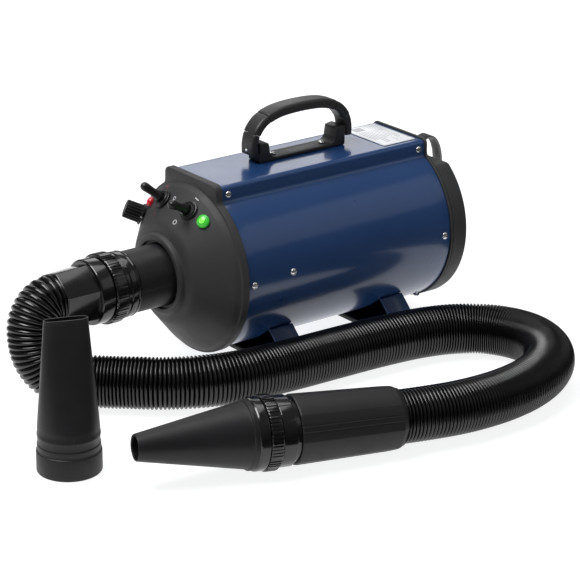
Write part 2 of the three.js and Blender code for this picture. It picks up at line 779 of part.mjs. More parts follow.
function speedKnob() {
  const ribs = 18;
  const shape = new THREE.Shape();
  for (let i = 0; i < 2 * ribs; i += 1) {
    const r = i % 2 === 0 ? 9.3 : 8.5;
    const a = (Math.PI * i) / ribs;
    if (i === 0) {
      shape.moveTo(r, 0);
    } else {
      shape.lineTo(r * Math.cos(a), r * Math.sin(a));
    }
  }
  const body = new THREE.ExtrudeGeometry(shape, {
    depth: 16, bevelEnabled: true, bevelThickness: 0.6, bevelSize: 0.5, bevelSegments: 1,
  });
  body.translate(0, 0, LIFT + 2.6);
  const skirt = post(LIFT + 0.2, LIFT + 2.4, 10.8);
  return cut(join(body, skirt), post(0, 11, 3.4, 16));
}

function speedControl() {
  return join(post(-12, -4, 8.5), post(-5, LIFT - 0.4, 4.5), post(LIFT - 1, 10, 3, 16));
}

function lamp(radius, stem) {
  return spun([
    [-9, 0], [-9, stem], [0.9, stem], [0.9, radius], [2, radius], [3.4, radius * 0.86],
    [4.6, radius * 0.5], [5, 0],
  ]);
}

// ---------------------------------------------------------------- inside the barrel

const MOTOR_R = 58;
const MOTOR_FRONT = 60;
const MOTOR_REAR = 168;
const IMPELLER_REAR = 200;
const SHAFT_R = 6;

// A steel ring that carries the motor, with windows for the air.
function motorMount() {
  const holes = [];
  for (let i = 0; i < 6; i += 1) {
    const a = (Math.PI * (2 * i + 1)) / 6;
    holes.push(disc(40, 70, 7, 8).translate(0, 68 * Math.cos(a), 68 * Math.sin(a)));
  }
  const plate = ring(48, 59, BARREL_R - SHEET - 0.5, MOTOR_R - 14);
  return cut(plate, disc(50, 70, MOTOR_R - 4), ...holes, ...sideHoles());
}

function motorHousing() {
  return turned([
    [MOTOR_FRONT, 8], [MOTOR_FRONT, 40], [MOTOR_FRONT + 6, 52], [MOTOR_FRONT + 14, MOTOR_R],
    [MOTOR_REAR, MOTOR_R], [MOTOR_REAR, MOTOR_R - 3], [MOTOR_FRONT + 15, MOTOR_R - 3],
    [MOTOR_FRONT + 8, 48], [MOTOR_FRONT + 4, 38], [MOTOR_FRONT + 4, 8], [MOTOR_FRONT, 8],
  ]);
}

function motorRotor() {
  return turned([
    [MOTOR_FRONT - 4, 0], [MOTOR_FRONT - 4, SHAFT_R], [90, SHAFT_R], [90, 20], [100, 20],
    [100, 36], [150, 36], [150, SHAFT_R], [IMPELLER_REAR + 4, SHAFT_R], [IMPELLER_REAR + 4, 0],
  ], SMALL);
}

// A backward-curved fan wheel: a hub disc with blades.
function impeller() {
  const hub = ring(MOTOR_REAR + 6, MOTOR_REAR + 9, 62, SHAFT_R + GAP);
  const boss = ring(MOTOR_REAR + 6, MOTOR_REAR + 26, 12, SHAFT_R + GAP, SMALL);
  const blades = [];
  for (let i = 0; i < 9; i += 1) {
    const blade = box(MOTOR_REAR + 8, MOTOR_REAR + 26, -1.2, 1.2, -14, 22);
    blade.rotateX(THREE.MathUtils.degToRad(35)).translate(0, 0, 38);
    blades.push(blade.rotateX((2 * Math.PI * i) / 9));
  }
  return join(hub, boss, ...blades);
}

// The insulating cross and its band that the heater wire is wound on.
function heaterFrame() {
  return join(
    ring(2, 6, 31, 29),
    box(0, 44, -0.8, 0.8, -30.4, 30.4),
    box(0, 44, -30.4, 30.4, -0.8, 0.8),
  );
}

function heaterCoil() {
  const points = [];
  const turns = 4;
  const stepsPerTurn = 10;
  for (let i = 0; i <= turns * stepsPerTurn; i += 1) {
    const a = (2 * Math.PI * i) / stepsPerTurn;
    const x = 12 + (28 * i) / (turns * stepsPerTurn);
    points.push(new THREE.Vector3(x, 34 * Math.cos(a), 34 * Math.sin(a)));
  }
  const wire = new THREE.Shape();
  wire.absarc(0, 0, 1.2, 0, 2 * Math.PI, false);
  return new THREE.ExtrudeGeometry(wire, {
    steps: turns * stepsPerTurn, bevelEnabled: false, curveSegments: 2,
    extrudePath: new THREE.CatmullRomCurve3(points),
  });
}

function controlBoard() {
  return join(
    box(70, 150, -26, 26, 72.6, 74.2),
    box(80, 96, -18, -4, 74, 82),
    box(104, 128, 2, 20, 74, 80),
    post(74, 83, 6).translate(140, -12, 0),
  );
}

// ---------------------------------------------------------------- assembly

piece(machine, 'barrel_shell', barrelShell(), navyPaint());
piece(machine, 'front_cap', frontCap(), matteBlack());
piece(machine, 'rear_frame', rearFrame(), matteBlack());
piece(machine, 'filter_cover', filterCover(), matteBlack());
piece(machine, 'filter_foam', filterFoam(), finish(0x55585a, 0.95));
piece(machine, 'filter_pull_loop', pullLoop(), finish(0x2c2c2e, 0.9));
piece(machine, 'label_plate', labelPlate(), finish(0xe9eaec, 0.4));
piece(machine, 'cord_gland', cordGland(), darkRubber());

for (const [name, x] of [['front', FOOT_X], ['rear', FOOT_X + FOOT_SPACING]]) {
  piece(machine, `foot_bracket_${name}`, footBracket(x), navyPaint());
  piece(machine, `foot_pad_${name}`, footPad(x), darkRubber());
}

piece(machine, 'handle_base', handleBase(), matteBlack());
piece(machine, 'handle_core', handleCore(), steel());
piece(machine, 'grip_middle', gripSegment(0.25, 0.75, GRIP_THICK[0], 12), matteBlack());
piece(machine, 'grip_shoulder_front', gripSegment(0.125, 0.246, GRIP_THICK[1], 5), matteBlack());
piece(machine, 'grip_shoulder_rear', gripSegment(0.754, 0.875, GRIP_THICK[1], 5), matteBlack());
for (const [name, from, to] of [['front', 0, 0.121], ['rear', 0.879, 1]]) {
  const end = cut(gripSegment(from, to, GRIP_THICK[2], 4), ...pinHoles());
  piece(machine, `grip_end_${name}`, end, matteBlack());
}
piece(machine, 'handle_pin_front', handlePin(-1), steel());
piece(machine, 'handle_pin_rear', handlePin(1), steel());

for (const [place, position] of Object.entries(SIDE_SCREWS)) {
  for (const [name, side] of [['near', -1], ['far', 1]]) {
    const screw = piece(machine, `screw_${place}_${name}`, screwShape(7), steel());
    screw.applyMatrix4(sideScrewMatrix(position, side));
  }
}
HANDLE_SCREWS.forEach((x, i) => {
  const screw = piece(machine, `screw_handle_${i === 0 ? 'front' : 'rear'}`, screwShape(7), steel());
  screw.position.set(x, HANDLE_Y, SPINE_TOP + GAP + BASE_HEIGHT + GAP);
});

piece(machine, 'outlet_sleeve', outletSleeve(), matteBlack());
piece(machine, 'outlet_socket', outletSocket(), glossBlack());
piece(
  machine, 'lock_ring_machine',
  lockRing(LOCK_END, SOCKET_END - GAP, LOCK_R, SLEEVE_BORE + 3), glossBlack(),
);
piece(
  machine, 'hose_cuff',
  hoseCuff(LOCK_END - GAP, COLLAR_END, CUFF_END, COLLAR_R, SLEEVE_BORE + 3, 27), glossBlack(),
);
piece(dryer, 'hose', hose(), glossBlack());
piece(nozzleLine, 'hand_grip', handGrip(), matteBlack());
piece(nozzleLine, 'nozzle_socket', nozzleSocket(), glossBlack());
piece(nozzleLine, 'lock_ring_nozzle', lockRing(123.4, 135, 34.6, 29), glossBlack());
piece(nozzleLine, 'cone_nozzle', coneNozzle(), matteBlack());
piece(dryer, 'flat_nozzle', flatNozzle(), matteBlack());

addControl('speed_control', speedControl(), finish(0x3a3d40, 0.5), CONTROL_SPOTS.knob);
addControl('speed_knob', speedKnob(), glossBlack(), CONTROL_SPOTS.knob);
addControl('red_lamp', lamp(5, 3.8), finish(0xc01018, 0.2), CONTROL_SPOTS.red);
addControl('green_lamp', lamp(6.6, 5), finish(0x12c238, 0.2), CONTROL_SPOTS.green);
for (const [name, tilt] of [['power', TOGGLE_TILT], ['heat', 0]]) {
  addControl(`${name}_switch_body`, switchBody(), finish(0x2b2d30, 0.5), CONTROL_SPOTS[name]);
  addControl(`${name}_nut`, nut(), glossBlack(), CONTROL_SPOTS[name]);
  addControl(`${name}_lever`, toggle(tilt), darkRubber(), CONTROL_SPOTS[name]);
}

piece(machine, 'motor_mount', motorMount(), steel());
piece(machine, 'motor_housing', motorHousing(), finish(0x8d9092, 0.5, 0.8));
piece(machine, 'motor_rotor', motorRotor(), steel());
piece(machine, 'impeller', impeller(), finish(0xb9bcbf, 0.4, 0.9));
piece(machine, 'heater_frame', heaterFrame(), finish(0xc7bfa8, 0.8));
piece(machine, 'heater_coil', heaterCoil(), copper());
piece(machine, 'control_board', controlBoard(), finish(0x1f5b36, 0.5));

export default dryer;
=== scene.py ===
"""Pet dryer: blue barrel, dished black front with its controls, handle, strap feet, corrugated
hose with grip and cone nozzle, and a spare flat nozzle. Shapes are drawn in millimetres, in the
barrel's frame (x = 0 at the shell's front edge, z = 0 on its axis) or in the row frame, and
every mesh is made in metres."""

import math

import bmesh
import bpy
from mathutils import Matrix, Vector


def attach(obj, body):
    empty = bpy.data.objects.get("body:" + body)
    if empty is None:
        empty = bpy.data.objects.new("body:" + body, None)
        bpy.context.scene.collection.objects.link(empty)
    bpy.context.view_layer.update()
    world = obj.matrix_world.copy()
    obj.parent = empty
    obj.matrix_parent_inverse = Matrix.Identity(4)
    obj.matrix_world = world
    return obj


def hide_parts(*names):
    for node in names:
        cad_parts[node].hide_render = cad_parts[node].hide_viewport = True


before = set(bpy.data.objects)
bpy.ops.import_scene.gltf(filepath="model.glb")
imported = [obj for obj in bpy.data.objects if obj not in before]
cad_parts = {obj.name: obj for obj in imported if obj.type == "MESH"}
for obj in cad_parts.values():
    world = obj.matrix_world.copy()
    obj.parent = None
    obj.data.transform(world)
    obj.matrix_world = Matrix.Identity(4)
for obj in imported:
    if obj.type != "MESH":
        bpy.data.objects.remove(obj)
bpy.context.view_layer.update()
scene = bpy.context.scene

MM = 0.001
ROW = Matrix.Identity(4)
BARREL = Matrix.Translation((-56, 0, 98))  # barrel frame to row frame, in millimetres
TAU = 2 * math.pi


def lerp(a, b, t):
    return a + (b - a) * t


def clamp(t, low=0.0, high=1.0):
    return max(low, min(high, t))


def smoothstep(t):
    t = clamp(t)
    return t * t * (3 - 2 * t)


# ------------------------------------------------------------------ camera

def add_camera():
    azimuth, elevation, roll = (math.radians(a) for a in (-37.811, 20.881, 0.459))
    target, distance = Vector((0.05884, 0, 0.04534)), 2.4572
    back = Vector((
        math.sin(azimuth) * math.cos(elevation),
        -math.cos(azimuth) * math.cos(elevation),
        math.sin(elevation),
    ))
    right = Vector((math.cos(azimuth), math.sin(azimuth), 0))
    up = back.cross(right)
    turned_right = right * math.cos(roll) + up * math.sin(roll)
    turned_up = up * math.cos(roll) - right * math.sin(roll)
    data = bpy.data.cameras.new("camera")
    data.lens, data.sensor_width = 151.19, 36
    data.clip_end = 50
    camera = bpy.data.objects.new("camera", data)
    camera.matrix_world = Matrix.Translation(target + back * distance) @ Matrix((
        turned_right, turned_up, back
    )).transposed().to_4x4()
    scene.collection.objects.link(camera)
    scene.camera = camera


add_camera()


# ------------------------------------------------------------------ materials


class Nodes:
    """A node tree with one Principled shader, and short ways to add to it."""

    def __init__(self, name):
        self.material = bpy.data.materials.new(name)
        self.material.use_nodes = True
        self.tree = self.material.node_tree
        self.shader = self.tree.nodes["Principled BSDF"]
        self.coords = self.add("ShaderNodeTexCoord").outputs["Object"]

    def add(self, kind, **inputs):
        node = self.tree.nodes.new(kind)
        for key, value in inputs.items():
            self.put(node.inputs[key.replace("_", " ")], value)
        return node

    def put(self, socket, value):
        if isinstance(value, bpy.types.NodeSocket):
            self.tree.links.new(value, socket)
        else:
            socket.default_value = value

    def set(self, **inputs):
        for key, value in inputs.items():
            self.put(self.shader.inputs[key.replace("_", " ")], value)

    def noise(self, scale, detail=3.0, rough=0.55, stretch=None, distortion=0.0):
        where = self.coords
        if stretch:
            mapping = self.add("ShaderNodeMapping", Vector=where, Scale=stretch)
            where = mapping.outputs["Vector"]
        node = self.add(
            "ShaderNodeTexNoise", Vector=where, Scale=scale, Detail=detail, Roughness=rough,
            Distortion=distortion,
        )
        return node.outputs["Fac"]

    def band(self, value, low, high, out_low=0.0, out_high=1.0):
        node = self.add("ShaderNodeMapRange", Value=value)
        for key, number in zip(
            ("From Min", "From Max", "To Min", "To Max"), (low, high, out_low, out_high)
        ):
            node.inputs[key].default_value = number
        return node.outputs["Result"]

    def swing(self, scale, detail, out_low=0.0, out_high=1.0):
        """Slow noise between two values."""
        return self.band(self.noise(scale, detail), 0.3, 0.7, out_low, out_high)

    def math(self, operation, a, b=0.0):
        node = self.tree.nodes.new("ShaderNodeMath")
        node.operation = operation
        self.put(node.inputs[0], a)
        self.put(node.inputs[1], b)
        return node.outputs[0]

    def mix(self, factor, a, b):
        node = self.tree.nodes.new("ShaderNodeMix")
        node.data_type = "RGBA"
        self.put(node.inputs["Factor"], factor)
        self.put(node.inputs[6], a)
        self.put(node.inputs[7], b)
        return node.outputs[2]

    def bump(self, height, distance, strength=1.0, base=None):
        node = self.add("ShaderNodeBump", Height=height, Distance=distance, Strength=strength)
        if base is not None:
            self.put(node.inputs["Normal"], base)
        return node.outputs["Normal"]


def rgba(color, gain=1.0):
    return (*[min(1.0, c * gain) for c in color], 1.0)


GRAIN_SCALE = 2600  # of the spark texture on moulded plastic


def plastic(name, color, rough, grain=0.00002, tone=0.12, coat=0.0, rough_swing=0.06,
            scuff=0.25, gloss=0.3):
    """Moulded plastic: fine spark texture, slow tone change, faint scuffs and lighter edges."""
    n = Nodes(name)
    tint = n.mix(n.swing(14, 4), rgba(color, 1 - tone), rgba(color, 1 + tone))
    edge = n.band(n.add("ShaderNodeNewGeometry").outputs["Pointiness"], 0.53, 0.62)
    marks = n.band(n.noise(160, 6, 0.7, distortion=1.5), 0.62, 0.74)
    worn = n.math("MULTIPLY", n.math("MAXIMUM", edge, n.math("MULTIPLY", marks, 0.5)), scuff)
    n.set(
        Base_Color=n.mix(worn, tint, rgba([lerp(c, 0.16, 0.25) for c in color])),
        Roughness=n.swing(60, 4, rough - rough_swing, rough + rough_swing),
        Specular_IOR_Level=gloss,
    )
    if coat:
        n.set(Coat_Weight=coat, Coat_Roughness=0.08)
    fine = n.noise(GRAIN_SCALE, 2, 0.5)
    broad = n.noise(45, 2)
    n.set(Normal=n.bump(fine, grain, base=n.bump(broad, 0.00004)))
    return n.material


def paint(name):
    """Glossy navy enamel with a slight orange peel, dust in its clear coat and a few specks."""
    n = Nodes(name)
    color = (0.0105, 0.043, 0.138)
    tint = n.mix(n.swing(5, 3), rgba(color, 0.9), rgba(color, 1.12))
    specks = n.band(n.noise(700, 2, 0.6), 0.74, 0.79)
    n.set(
        Base_Color=n.mix(n.math("MULTIPLY", specks, 0.35), tint, rgba((0.06, 0.09, 0.2))),
        Roughness=n.swing(30, 5, 0.27, 0.37),
        Specular_IOR_Level=0.2,
        Coat_Weight=0.8,
        Coat_Roughness=0.15,
        Coat_IOR=1.5,
    )
    peel = n.noise(380, 2, 0.4)
    wave = n.noise(11, 1)
    bumped = n.bump(peel, 0.000035, base=n.bump(wave, 0.0004))
    n.set(Normal=bumped, Coat_Normal=bumped)
    return n.material


def metal(name, color, rough, brushed=None, bump=0.000012):
    """Steel or alloy with fine streaks, drawn out along the brushed direction."""
    n = Nodes(name)
    streak = n.noise(900, 3, 0.6, brushed or (1, 1, 1))
    tint = n.mix(n.swing(40, 4), rgba(color, 0.92), rgba(color, 1.08))
    n.set(
        Base_Color=tint,
        Metallic=1.0,
        Roughness=n.band(streak, 0.3, 0.7, rough * 0.7, rough * 1.35),
        Normal=n.bump(streak, bump),
    )
    return n.material


def rubber(name, color, rough=0.62):
    """Rubber with a little pale dust on it."""
    n = Nodes(name)
    powder = n.band(n.noise(90, 6, 0.65), 0.5, 0.75)
    n.set(
        Base_Color=n.mix(
            n.math("MULTIPLY", powder, 0.18), rgba(color), rgba([c + 0.05 for c in color])
        ),
        Roughness=n.swing(200, 4, rough - 0.08, rough + 0.1),
        Normal=n.bump(n.noise(1800, 3), 0.00003, base=n.bump(n.noise(120, 2), 0.00006)),
    )
    return n.material


def weave(name, color, pitch, rough=0.85, fuzz=0.35):
    """Webbing: over-and-under ribs with fuzzy fibres."""
    n = Nodes(name)
    waves = []
    for direction in ("Y", "Z"):
        wave = n.add("ShaderNodeTexWave", Vector=n.coords, Scale=1 / pitch / 6.28 * 3.14)
        wave.wave_type, wave.bands_direction = "BANDS", direction
        waves.append(wave.outputs["Fac"])
    threads = n.math("MULTIPLY", *waves)
    fibre = n.noise(2400, 5, 0.7)
    height = n.math("ADD", threads, n.math("MULTIPLY", fibre, fuzz))
    # Colour follows the weave's height: painted shade in the gaps between threads and painted
    # highlight on their crossings, with real tone from the fibre fuzz.
    n.set(
        Base_Color=n.mix(n.band(height, 0.1, 1.0), rgba(color, 0.55), rgba(color, 1.35)),
        Roughness=rough,
        Sheen_Weight=0.35,
        Sheen_Roughness=0.4,
        Normal=n.bump(height, 0.0003),
    )
    return n.material


def foam(name, color):
    """Open-celled filter foam."""
    n = Nodes(name)
    cells = n.add("ShaderNodeTexVoronoi", Vector=n.coords, Scale=700)
    depth = n.band(cells.outputs["Distance"], 0.1, 0.6)
    # Colour drops towards each cell's centre: painted shade in the open pores, lighter on the
    # struts between them; the same mask drives the bump.
    n.set(
        Base_Color=n.mix(depth, rgba(color, 0.25), rgba(color, 1.2)),
        Roughness=0.95,
        Normal=n.bump(depth, 0.0008),
    )
    return n.material


def lens(name, color, glow, centre, radius, strength):
    """A moulded lamp lens that is brighter in its middle."""
    n = Nodes(name)
    offset = n.add("ShaderNodeVectorMath")
    offset.operation = "DISTANCE"
    n.put(offset.inputs[0], n.coords)
    n.put(offset.inputs[1], centre)
    away = offset.outputs["Value"]
    ripples = n.math("SINE", n.math("MULTIPLY", away, 4200))
    disc = n.band(away, radius * 0.5, radius * 0.56, 1.0, 0.0)
    edge = n.math("ABSOLUTE", n.math("SUBTRACT", away, radius * 0.6))
    groove = n.band(edge, radius * 0.02, radius * 0.1, 0.35, 1.0)
    fall = n.band(away, radius * 0.6, radius * 1.1, 0.45, 0.1)
    middle = n.math("MULTIPLY", n.math("MAXIMUM", disc, fall), groove)
    n.set(
        Base_Color=n.mix(middle, rgba(color, 0.8), rgba(color, 1.2)),
        Roughness=n.swing(500, 3, 0.1, 0.2),
        Emission_Color=n.mix(middle, rgba(color), rgba(glow)),
        Emission_Strength=n.band(middle, 0, 1, strength * 0.35, strength),
        Coat_Weight=0.6,
        Coat_Roughness=0.05,
        Normal=n.bump(ripples, 0.00012),
    )
    return n.material


def label_film(name):
    """White film with a plain grey frame, rows of rules and one solid block."""
    n = Nodes(name)
    axes = n.add("ShaderNodeSeparateXYZ", Vector=n.coords)
    x, y = axes.outputs["X"], axes.outputs["Y"]

    def between(value, low, high):
        return n.math(
            "MULTIPLY", n.math("GREATER_THAN", value, low), n.math("LESS_THAN", value, high)
        )

    rows = n.math("GREATER_THAN", n.math("SINE", n.math("MULTIPLY", x, TAU / 0.0032)), 0.35)
    ragged = n.band(n.noise(55, 0, stretch=(6, 1, 1)), 0.35, 0.65, -0.024, -0.010)
    ruled = n.math("MULTIPLY", between(x, 0.157, 0.188), between(y, ragged, 0.016))
    text = n.math("MULTIPLY", rows, ruled)
    block = n.math("MULTIPLY", between(x, 0.158, 0.170), between(y, 0.019, 0.030))
    frame_in = n.math("MULTIPLY", between(x, 0.1534, 0.1916), between(y, -0.0305, 0.0325))
    frame_out = n.math("MULTIPLY", between(x, 0.1529, 0.1921), between(y, -0.031, 0.033))
    line = n.math("SUBTRACT", frame_out, frame_in)
    ink = n.math("MAXIMUM", n.math("MAXIMUM", text, line), block)
    cloudy = n.swing(30, 3)
    paper = n.mix(cloudy, rgba((0.74, 0.75, 0.78)), rgba((0.8, 0.81, 0.83)))
    n.set(
        Base_Color=n.mix(n.math("MULTIPLY", ink, 0.8), paper, rgba((0.2, 0.2, 0.21))),
        Roughness=n.swing(300, 3, 0.28, 0.4),
        Coat_Weight=0.4,
        Coat_Roughness=0.2,
        Normal=n.bump(n.noise(60, 2), 0.00008),
    )
    return n.material


def printed(name, color):
    """Slightly patchy printing ink."""
    n = Nodes(name)
    patchy = n.band(n.noise(1500, 4, 0.7), 0.25, 0.6)
    n.set(
        Base_Color=n.mix(patchy, rgba(color, 0.7), rgba(color)),
        Roughness=0.6,
        Normal=n.bump(n.noise(2500, 2), 0.00001),
    )
    return n.material


MATTE = plastic("matte_black", (0.033, 0.033, 0.0345), 0.55, grain=0.00003, tone=0.08, gloss=0.35)
NOZZLE = plastic("nozzle_black", (0.0095, 0.0095, 0.0108), 0.45, grain=0.00002, tone=0.1)
GRIP = plastic("grip_black", (0.0145, 0.014, 0.0145), 0.48, grain=0.000025, tone=0.08)
HANDLE = plastic("handle_black", (0.024, 0.0235, 0.024), 0.42, grain=0.000025, tone=0.08,
                 gloss=0.4)
GLOSS = plastic("gloss_black", (0.0035, 0.0035, 0.004), 0.17, grain=0.000004, coat=0.3,
                rough_swing=0.05, scuff=0.1, gloss=0.45)
HOSE = plastic("hose_black", (0.002, 0.002, 0.0022), 0.19, grain=0.000004, rough_swing=0.05,
               scuff=0.04, gloss=0.5)
KNOB = plastic("knob_black", (0.007, 0.007, 0.0075), 0.36, grain=0.00001)
PAINT = paint("navy_paint")
SCREW = metal("screw_steel", (0.78, 0.78, 0.79), 0.2)
BAND = metal("band_steel", (0.62, 0.63, 0.64), 0.3, (1, 14, 14))
PAD = rubber("pad_rubber", (0.009, 0.009, 0.0095))
BOOT = rubber("boot_rubber", (0.0045, 0.0045, 0.005), 0.36)
WEB = weave("webbing_black", (0.03, 0.03, 0.032), 0.0012)
FELT = weave("felt_grey", (0.3, 0.29, 0.3), 0.0016, 0.95, 0.9)
FOAM = foam("filter_foam", (0.11, 0.115, 0.12))
LABEL = label_film("label_film")
INK_WHITE = printed("ink_white", (0.6, 0.6, 0.62))
INK_RED = printed("ink_red", (0.34, 0.05, 0.06))
HOUSING = plastic("switch_housing", (0.03, 0.032, 0.035), 0.5)
MOTOR_STEEL = metal("motor_steel", (0.5, 0.5, 0.51), 0.4, (1, 8, 8))
CAST = metal("cast_alloy", (0.52, 0.53, 0.54), 0.5, bump=0.00006)
FAN = metal("fan_alloy", (0.68, 0.69, 0.7), 0.32, (3, 1, 1))
MICA = plastic("insulation_board", (0.5, 0.45, 0.33), 0.7, grain=0.00006)
COIL = metal("heater_wire", (0.6, 0.33, 0.18), 0.35, (8, 1, 1))
BOARD = plastic("circuit_board", (0.02, 0.12, 0.05), 0.4, grain=0.00002)


# ------------------------------------------------------------------ mesh helpers

def build(name, shape, place, materials, node=None, body="dryer", smooth=32,
          index=None):
    """A mesh piece from (points in millimetres, faces), in the frame that place gives."""
    verts, faces = shape
    mesh = bpy.data.meshes.new(name)
    mesh.from_pydata([(place @ Vector(v)) * MM for v in verts], [], faces)
    if index is not None:
        mesh.polygons.foreach_set("material_index", index)
    bm = bmesh.new()
    bm.from_mesh(mesh)
    bmesh.ops.recalc_face_normals(bm, faces=bm.faces)
    bm.to_mesh(mesh)
    bm.free()
    mesh.shade_smooth()
    mesh.set_sharp_from_angle(angle=math.radians(smooth))
    if not isinstance(materials, tuple):
        materials = (materials,)
    for material in materials:
        mesh.materials.append(material)
    piece = bpy.data.objects.new(name, mesh)
    scene.collection.objects.link(piece)
    if node:
        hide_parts(node)
    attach(piece, body)
    return piece


def eased(outline, radius=0.6, steps=3, loop=True):
    """The same polyline with each clear corner eased by a short curve."""
    points = [Vector(p) for p in outline]
    if loop and (points[0] - points[-1]).length < 1e-9:
        points.pop()
    count = len(points)
    result = []
    for i, p in enumerate(points):
        if not loop and i in (0, count - 1):
            result.append(tuple(p))
            continue
        before, after = points[i - 1] - p, points[(i + 1) % count] - p
        if before.length < 1e-6 or after.length < 1e-6:
            continue
        if before.angle(after) > math.radians(168):
            result.append(tuple(p))
            continue
        reach = min(radius, 0.45 * before.length, 0.45 * after.length)
        a, b = p + before.normalized() * reach, p + after.normalized() * reach
        for k in range(steps + 1):
            t = k / steps
            result.append(tuple(a * (1 - t) ** 2 + p * 2 * t * (1 - t) + b * t * t))
    return result


def lofted(rings, wrap=False, caps=True):
    """Faces over rings of equal count. wrap joins the last ring to the first."""
    count = len(rings[0])
    verts = [v for ring in rings for v in ring]
    faces = []
    spans = len(rings) if wrap else len(rings) - 1
    for i in range(spans):
        j = (i + 1) % len(rings)
        for k in range(count):
            m = (k + 1) % count
            faces.append((i * count + k, i * count + m, j * count + m, j * count + k))
    if caps and not wrap:
        last = (len(rings) - 1) * count
        faces.append(tuple(range(count - 1, -1, -1)))
        faces.append(tuple(range(last, last + count)))
    return verts, faces


def lathed(outline, segments=96, wave=None, loop=True):
    """An (x, radius) outline turned about X. wave(x, radius, angle) gives a new radius."""
    if loop and outline[0] == outline[-1]:
        outline = outline[:-1]
    verts, faces, rows = [], [], []
    for x, r in outline:
        if r < 1e-6:
            rows.append([len(verts)])
            verts.append((x, 0, 0))
            continue
        row = []
        for k in range(segments):
            a = TAU * k / segments
            radius = wave(x, r, a) if wave else r
            row.append(len(verts))
            verts.append((x, radius * math.cos(a), radius * math.sin(a)))
        rows.append(row)
    pairs = list(zip(rows, rows[1:])) + ([(rows[-1], rows[0])] if loop else [])
    for one, two in pairs:
        if len(one) == 1 and len(two) == 1:
            continue
        for k in range(segments):
            m = (k + 1) % segments
            if len(one) == 1:
                faces.append((one[0], two[m], two[k]))
            elif len(two) == 1:
                faces.append((one[k], one[m], two[0]))
            else:
                faces.append((one[k], one[m], two[m], two[k]))
    return verts, faces


def joined(*parts):
    """Several (verts, faces) as one."""
    verts, faces = [], []
    for more_verts, more_faces in parts:
        start = len(verts)
        verts += more_verts
        faces += [tuple(start + i for i in face) for face in more_faces]
    return verts, faces


def shifted(loop, amount):
    """A closed 2-D loop moved inward (positive, for a loop drawn anticlockwise)."""
    result = []
    count = len(loop)
    for i, (u, v) in enumerate(loop):
        (au, av), (bu, bv) = loop[i - 1], loop[(i + 1) % count]
        tangent = Vector((bu - au, bv - av)).normalized()
        result.append((u - tangent.y * amount, v + tangent.x * amount))
    return result


def beside_line(points, amount):
    """An open 2-D line moved sideways, to its left for a positive amount."""
    result = []
    for i, (u, v) in enumerate(points):
        before, after = points[max(0, i - 1)], points[min(len(points) - 1, i + 1)]
        tangent = Vector((after[0] - before[0], after[1] - before[1])).normalized()
        result.append((u - tangent.y * amount, v + tangent.x * amount))
    return result


def anticlockwise(loop):
    area = sum(a[0] * b[1] - b[0] * a[1] for a, b in zip(loop, loop[1:] + loop[:1]))
    return loop if area > 0 else loop[::-1]


def slab(loop, w0, w1, ease, place):
    """A 2-D loop carried from w0 to w1 with eased edges. place(u, v, w) gives the point."""
    loop = anticlockwise(list(loop))
    steps = [(0, 1.0), (0.3, 0.3), (1.0, 0.0)]
    rings = []
    for depth, inset in steps:
        rings.append([place(u, v, w0 + depth * ease) for u, v in shifted(loop, inset * ease)])
    for depth, inset in reversed(steps):
        rings.append([place(u, v, w1 - depth * ease) for u, v in shifted(loop, inset * ease)])
    return lofted(rings)


def catmull(points, per=24):
    """Centripetal Catmull-Rom through points, as a dense polyline."""
    pts = [Vector(p) for p in points]
    pts = [pts[0] * 2 - pts[1], *pts, pts[-1] * 2 - pts[-2]]
    result = []
    for i in range(1, len(pts) - 2):
        p0, p1, p2, p3 = pts[i - 1 : i + 3]
        t1 = (p1 - p0).length ** 0.5
        t2 = t1 + (p2 - p1).length ** 0.5
        t3 = t2 + (p3 - p2).length ** 0.5
        for k in range(per):
            t = lerp(t1, t2, k / per)
            a1 = p0 * ((t1 - t) / t1) + p1 * (t / t1)
            a2 = p1 * ((t2 - t) / (t2 - t1)) + p2 * ((t - t1) / (t2 - t1))
            a3 = p2 * ((t3 - t) / (t3 - t2)) + p3 * ((t - t2) / (t3 - t2))
            b1 = a1 * ((t2 - t) / t2) + a2 * (t / t2)
            b2 = a2 * ((t3 - t) / (t3 - t1)) + a3 * ((t - t1) / (t3 - t1))
            result.append(b1 * ((t2 - t) / (t2 - t1)) + b2 * ((t - t1) / (t2 - t1)))
    result.append(pts[-2])
    return result


class Line:
    """A polyline that is read by distance along it."""

    def __init__(self, points):
        self.points = points
        self.marks = [0.0]
        for a, b in zip(points, points[1:]):
            self.marks.append(self.marks[-1] + (b - a).length)
        self.length = self.marks[-1]
        self.spot = 0

    def at(self, s):
        s = clamp(s, 0, self.length)
        while self.spot > 0 and self.marks[self.spot] > s:
            self.spot -= 1
        while self.spot < len(self.marks) - 2 and self.marks[self.spot + 1] < s:
            self.spot += 1
        i = self.spot
        span = self.marks[i + 1] - self.marks[i]
        return self.points[i].lerp(self.points[i + 1], (s - self.marks[i]) / span)

    def heading(self, s, reach=2.0):
        return (self.at(s + reach) - self.at(s - reach)).normalized()


# ------------------------------------------------------------------ hose

HOSE_ROUTE = [
    (-219, 0, 98), (-223, 0, 98), (-230, 0, 96.8), (-238.5, -1, 91.5), (-244.5, -2, 82),
    (-246.5, -4, 68), (-244, -8, 50), (-235, -15, 35), (-219, -28, 27), (-200, -43, 25.4),
    (-178, -62, 25.2), (-153, -83, 25.2),
    (-120, -101, 25.2), (-82, -112, 25.2), (-36, -117, 25.2), (18, -119.5, 25.2),
    (74, -122.5, 25.2), (122, -129, 25.2), (154, -140, 25.2), (179, -158, 25.2),
    (194, -181, 25.2), (199, -207, 25.2), (192, -234, 25.2), (175, -257, 25.2),
    (150, -275, 25.2), (120, -287, 25.4), (88, -293.5, 26), (56, -295, 26.6),
    (24, -293, 27.6), (-8, -287, 28.7), (-34, -280.4, 29.5),
    (-67.6, -270.8, 30.9), (-101.3, -261.2, 32.3), (-133, -252.2, 33.6),
]
HOSE_R = 25.0
